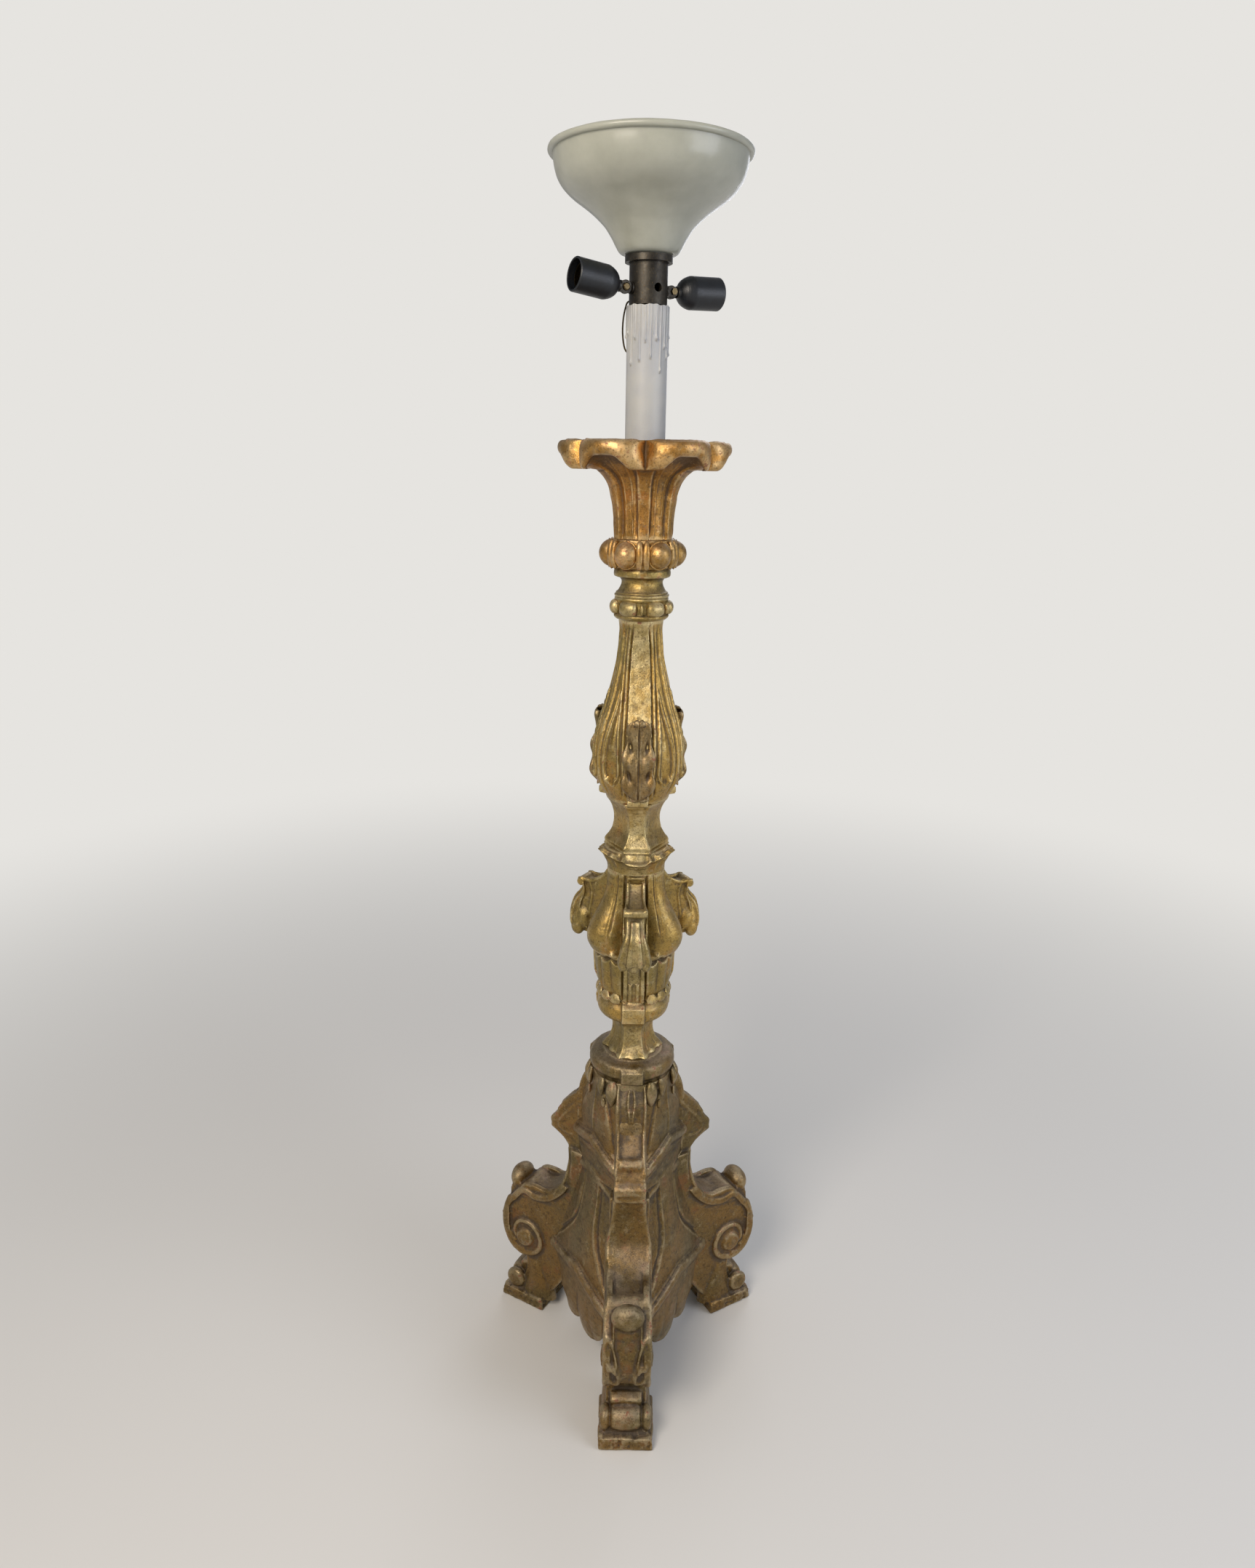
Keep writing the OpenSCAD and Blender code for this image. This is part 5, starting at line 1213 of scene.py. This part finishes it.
def cup_shell():
    """Fluted cup: six flat strips with a wide hollow flute between each two, then the lobed lip. The
    rows run up the outside, along the underside of the lobes, round the rolled lip, and in over
    the drip pan. u runs from a notch (0) to the middle of a lobe (1)."""
    columns = 432
    az = (np.arange(columns) * 360 / columns)[None]
    off = np.abs((az + 30) % 60 - 30)
    u = off / 30
    f = np.linspace(0, LIP_SHARE, 76)[:, None]
    flare = track([[0, 0], [0.25, 1.5], [0.42, 4.5], [0.55, 9], [0.64, 16], [LIP_SHARE, 25]], f)
    flute = ease(0.31, 0.37, u) * (3.2 + 5.5 * f + 1.5 * np.sin(np.pi / 2 * u))
    arris = 0.9 * bell(u - 0.33, 0.05) + 1.3 * bell(u - 0.74, 0.05) - 1.2 * bell(u - 0.46, 0.07)
    body_r = CUP_FOOT_R + flare - flute + arris * ease(0.0, 0.1, f)
    facet = 1 / np.cos(np.radians(np.minimum(off, 10))) - 1
    body = polar(az, body_r - CUP_FOOT_R * facet, CUP + f * (LIP - CUP))
    rim_r = NOTCH_R + (LOBE_R - NOTCH_R) * np.sin(np.pi / 2 * u) ** 0.6
    lip_t = 37 - 17 * ease(0.3, 0.8, u)
    notch = ease(0.3, 0.0, u)
    start, end = CUP + LIP_SHARE * (LIP - CUP), LIP - lip_t + 3
    under = []
    for k in np.linspace(0.12, 1, 14):
        hollow = np.sin(np.pi * k) * 7.0 * ease(0.1, 0.5, u)
        r = body_r[-1:] + k * (rim_r - 7 - body_r[-1:])
        under.append(polar(az, r, end - (1 - k) * (end - start) + hollow))
    lip = []
    for a in np.radians(np.linspace(-90, 90, 22)):
        s, c = math.sin(a), math.cos(a) ** 0.8
        r = rim_r - 9.0 + 9.0 * c - 9.0 * notch * (0.5 + 0.5 * s) * c
        lip.append(polar(az, r, LIP - lip_t * (0.5 - 0.5 * s) - 1.5 * (1 - c) * (s > 0)))
    pan = [polar(az, rim_r - back - 6 * notch, LIP - drop - 2.5 * notch * ease(60, 10, back))
           for back, drop in ((11, 0), (15, 1.2), (21, 4), (28, 9), (36, 14), (46, 18),
                              (52, PAN_DEPTH), (62, PAN_DEPTH))]
    pan += [polar(az, r + 0 * rim_r, LIP - PAN_DEPTH) for r in (20, 4)]
    foot = [polar(az, body_r[:1] * share, CUP) for share in END_SHARES]
    return skin(np.concatenate(foot + [body] + under + lip + pan))


# Turned and lobed sections: node, shells, leaf, seed, voxel to melt them with, painted strap highlight
# and worn
STEM = (
    ("base_collar", collar_shells(), gilt_dark, 31, 1.5, 0.8, 1.0),
    ("lower_neck", [section(NECK, LOWER_RING, lower_neck_radius, 70, 252)], gilt_wood, 32, None, 0.7,
     1.0),
    ("lower_ring", lower_ring_shells(), gilt_wood, 33, 1.4, 0.8, 1.0),
    ("vase", [section(VASE, RUFFLE, vase_radius, 190, 384)], gilt_wood, 34, None, 0.0, 1.0),
    ("ruffle_collar", [ruffle_shell()], gilt_wood, 35, None, 0.8, 1.0),
    ("spool", [section(SPOOL, BALUSTER, spool_radius, 80, 252)], gilt_wood, 36, None, 0.9, 1.0),
    ("bead_ring", bead_shells(), gilt_wood, 38, None, 0.0, 0.35),
    ("necked_disc", [section(DISC, GADROON, disc_neck, 66, 240)], gilt_wood, 39, None, 0.0, 0.8),
    ("gadroon_collar", gadroon_shells(), gilt_orange, 40, None, 0.0, 0.25),
)
for node, shells, leaf, part_seed, voxel, pale_front, wear in STEM:
    part_shell = melted(shells, voxel) if voxel else joined(shells)
    carve("carved_" + node, part_shell, leaf, [node], part_seed, strap_highlight=pale_front, worn=wear)

leaf_shell, block_shell = baluster_leaf()
baluster_shell = joined([section(BALUSTER, BEADS, baluster_radius, 220, 348)] + thrice([block_shell]))
carve("carved_baluster", baluster_shell, gilt_wood, ["baluster"], 37, strap_highlight=1.0)
carve("baluster_leaves", joined(thrice([leaf_shell])), gilt_dark, [], 56, 0.2, strap_highlight=0.5)

bracket_shell = melted(bracket_shells(), BRACKET_VOXEL)
for bracket_seed, (side_name, side_az) in enumerate(SIDES.items(), 51):
    carve("carved_vase_bracket_" + side_name, spun(bracket_shell, side_az), gilt_wood,
          ["vase_bracket_" + side_name], bracket_seed, strap_highlight=0.6)

carve("carved_cup", cup_shell(), gilt_orange, ["cup"], 54, 0.45)
carve("hanging_buds", joined(thrice(both(bud_shells()))), gilt_dark, [], 55, 0.2)

# ---------- candle sleeve ----------
SLEEVE_R, SLEEVE_BORE = 26.4, 22.4
WAX_LONG = 84.0        # length under the top edge that the wax reaches
# Wax runs down the sleeve: azimuth, length and fatness
WAX_RUNS = np.array([
    [-83, 40, 1.0], [-66, 34, 0.8], [-50, 70, 0.9], [-36, 41, 1.1], [-22, 66, 0.9], [-6, 43, 0.8],
    [9, 63, 0.9], [25, 42, 1.2], [38, 78, 0.9], [52, 50, 1.1], [65, 63, 0.9], [80, 39, 1.0],
    [95, 58, 0.9], [112, 44, 1.1], [130, 71, 0.9], [148, 40, 1.0], [165, 60, 0.8], [182, 47, 1.1],
    [199, 66, 0.9], [217, 42, 1.0], [236, 57, 0.9]])


def wave(az, beats, phase=0):
    """Sine wave round the stem."""
    return np.sin(np.radians(beats * az + phase))


def off_run(az, run_az):
    """Distance in mm round the sleeve from a run."""
    return np.radians((az - run_az + 180) % 360 - 180) * SLEEVE_R


def wax_height(az, down):
    """Wax over the card tube in mm, at azimuth az and down mm under its top: a coat that thins out,
    a rib for each run, a fat drop where the run stops, and thin trickles between them."""
    coat = 0.9 * ease(46, 8, down + 7 * wave(az, 5) + 4 * wave(az, 13, 40))
    out = coat + 0.3 * wave(az, 39) * ease(38, 12, down)
    for run_az, length, fat in WAX_RUNS:
        off = off_run(az, run_az) + 0.14 * np.sin(down / 9 + run_az)
        rib = bell(off, 1.25 * fat) * ease(length, length - 3, down)
        drop = bell(off, 1.75 * fat) * bell(down - length + 2.2, 2.6)
        out = np.maximum(out, (1.15 + 0.35 * fat) * rib + 1.3 * fat * drop)
        trickle = bell(off - 3.1 * fat, 0.8) * ease(0.62 * length, 0.5 * length, down)
        out = np.maximum(out, 0.95 * trickle)
    return out


def drip_ends(az, down):
    """Share of brown dust that has stuck under each drop and in the joints of the runs."""
    out = np.zeros(np.broadcast(az, down).shape)
    for run_az, length, fat in WAX_RUNS:
        off = off_run(az, run_az)
        spot = 0.5 * bell(off, 1.5) * bell(down - length - 0.9, 1.1)
        line = 0.22 * bell(off - 1.9 * fat, 0.8) * ease(length, 0.7 * length, down)
        out = np.maximum(out, np.maximum(spot, line))
    return out


def candle_wax():
    """Pale grey-white wax over card: a little light soaks in, with tan dust under the drops and
    between the runs."""
    wax = Finish("candle_wax")
    cloud, grain = wax.noise(38, 5), wax.noise(1.6, 3)
    colour = wax.mixed(wax.ranged(cloud, 0.35, 0.65, easing="LINEAR"), "#a9aaac", "#b4b4b1")
    colour = wax.mixed(wax.field("dust"), colour, "#75663f")
    specks = wax.ranged(grain, 0.66, 0.74, 0.0, 0.35, "LINEAR")
    colour = wax.mixed(specks, colour, "#8f866e")
    return wax.coated(colour, 0.46, grain, 0.3, 0.35, **{
        "Subsurface Weight": 0.18, "Subsurface Radius": (0.004, 0.003, 0.002), "Subsurface Scale": 1.0})


def sleeve_shell():
    """Card tube with its wax, and the dust on each of its points: rows up the outside to the ragged
    top edge, in over it, and down the bore to the foot, where the tube of rows closes."""
    columns = 432
    az = (np.arange(columns) / (columns / 360))[None]
    long = CLUSTER - PAN
    down = np.concatenate([np.linspace(0, WAX_LONG, 160), np.linspace(WAX_LONG + 4, long, 30)])[:, None]
    ragged = 0.9 * wave(az, 7) + 0.7 * wave(az, 17, 50)
    skirt = CLUSTER - 1.0 + ragged * 0.6 - down * (1 - 0.6 * ragged / long)
    outer = polar(az, SLEEVE_R + wax_height(az, down), np.maximum(skirt, PAN))
    brim = [polar(az, r + 0 * az, CLUSTER - 1.2 + 0.6 * ragged)
            for r in (SLEEVE_R - 0.6, SLEEVE_BORE + 0.6)]
    bore = [polar(az, SLEEVE_BORE + 0 * az, z) for z in (CLUSTER - 2.5, PAN)]
    grid = np.concatenate([outer[::-1]] + brim + bore)
    dust = np.concatenate([drip_ends(az, down)[::-1], np.zeros((4, columns))])
    return (grid.reshape(-1, 3), net(*grid.shape[:2], tube=True)[1]), dust.ravel()


waxed_shell, wax_dust = sleeve_shell()
candle = carve("waxed_sleeve", waxed_shell, candle_wax(), ["candle_sleeve"], 61, 0.06)
lay(candle.data, "dust", wax_dust)

# ---------- bowl ----------
GLASS_T, FITTER_R = 4.0, 28.0               # wall, and the outside of the neck
RIM_AT, RIM_BEAD_R = (122.6, 120.2), 3.8    # middle of the bead round the rim, and its radius


def bowl_shell():
    """Blown bowl with an even wall and a bead round its rim."""
    outer = path([[FITTER_R, 0], [28, 6.6], [33.5, 7.2], [38, 10], [42, 16.5], [46, 24], [50.5, 31],
                  [56, 38.5], [64, 46.5], [74, 55], [85, 63], [96, 70.5], [105, 78], [111, 85],
                  [115, 92], [117.5, 99], [119, 106], [120, 113], [120.6, 116]], 4)
    bore = FITTER_R - GLASS_T
    inner = beside(outer, -GLASS_T)[::-1]
    inner = inner[(inner[:, 1] > 0) & (inner[:, 0] > bore)]
    turn = np.radians(np.linspace(-120, 140, 16))
    bead = RIM_AT + RIM_BEAD_R * np.stack([np.cos(turn), np.sin(turn)], 1)
    profile = np.vstack([outer, bead, inner, [[bore, 8], [bore, 0], [FITTER_R, 0]]]) + (0, BOWL)
    return skin(lathe(profile, 192), caps=False)


carve("etched_bowl", bowl_shell(), opal_glass, ["bowl"], 61, 0.15, body="uplight_bowl")

# ---------- CAD nodes that keep their own mesh ----------
FINISH_OF_SLOT = {
    "gilt_wood": gilt_wood,
    "gilt_orange": gilt_orange,
    "wax_card": opal_glass,
    "opal_glass": opal_glass,
    "patinated_brass": patinated_brass,
    "brass": dull_brass,
    "steel": zinc_steel,
    "bakelite": bakelite,
    "porcelain": porcelain,
}

for part in frame["record"]["subparts"]:
    body = frame["nodes"][part["node"]]
    body.data.materials.clear()
    body.data.materials.append(FINISH_OF_SLOT[part["material_slot"]])

# ---------- floor, backdrop and light ----------
PALE, MATT, ROOM = "#e6e4e0", "#dedcd8", "#f2f4f8"
FLOOR_RINGS = (0.01, 0.5, 1.5, 4.0, 14.0)      # radii in metres
FADE_FROM, FADE_TO = 0.8, 3.4                  # metres from the stem
ROOM_STRENGTH = 0.36


def pale_floor():
    """Matt pale floor that fades into the backdrop's colour away from the stand. The backdrop is
    what camera, glossy and transmission rays see; the light on the object stays plain."""
    floor = Finish("pale_matt_floor")
    far = floor.add("VectorMath", {0: floor.place}, operation="LENGTH").outputs["Value"]
    rays = floor.add("LightPath").outputs
    seen = floor.maths("MAXIMUM", rays["Is Camera Ray"], rays["Is Glossy Ray"])
    share = floor.times(floor.ranged(far, FADE_FROM, FADE_TO), seen)
    matt = floor.add("BsdfDiffuse", {"Color": MATT}).outputs[0]
    glow = floor.add("Emission", {"Color": PALE, "Strength": 1.0}).outputs[0]
    return floor.with_surface(floor.add("MixShader", {0: share, 1: matt, 2: glow}).outputs[0])


def floor_disc():
    """Disc of rings round the stem, 1 mm under the pads."""
    radii = np.array(FLOOR_RINGS)[:, None] / MM
    rings = polar((np.arange(64) * 360 / 64)[None], radii, -1.0)
    index, faces = net(*rings.shape[:2])
    mesh = mesh_of("floor", rings.reshape(-1, 3), backwards(faces).tolist() + [index[0].tolist()])
    mesh.materials.append(pale_floor())
    placed("floor", mesh)


def soft_light(name, at, aim, size, watts, colour):
    """A square lamp that faces the point aim, all in metres."""
    lamp = bpy.data.lights.new(name, "AREA")
    lamp.shape = "SQUARE"
    lamp.size = size
    lamp.energy = watts
    lamp.color = linear(colour)[:3]
    turn = (Vector(at) - Vector(aim)).to_track_quat("Z", "Y")
    placed(name, lamp).matrix_world = Matrix.Translation(at) @ turn.to_matrix().to_4x4()


floor_disc()
soft_light("key_light", (-1.0, -1.9, 2.35), (0, 0, 1.0), 1.1, 50, "#fff4e6")
soft_light("fill_light", (2.2, -1.2, 1.7), (0, 0, 0.9), 1.5, 26, "#eef3ff")
soft_light("back_light", (0.5, 2.4, 2.2), (0, 0, 0.7), 1.4, 13, "#f4f6ff")

world = bpy.data.worlds.new("plain_studio")
bpy.context.scene.world = world
world.use_nodes = True
sky = world.node_tree
sky.nodes.clear()
sky_rays = add(sky, "LightPath").outputs
sky_seen = add(sky, "Math", {0: sky_rays["Is Camera Ray"], 1: sky_rays["Is Transmission Ray"]},
               operation="MAXIMUM").outputs[0]
room = add(sky, "Background", {"Color": ROOM, "Strength": ROOM_STRENGTH}).outputs[0]
backdrop = add(sky, "Background", {"Color": PALE, "Strength": 1.0}).outputs[0]
sky_mix = add(sky, "MixShader", {0: sky_seen, 1: room, 2: backdrop}).outputs[0]
add(sky, "OutputWorld", {"Surface": sky_mix})

bpy.context.scene.view_settings.view_transform = "Standard"
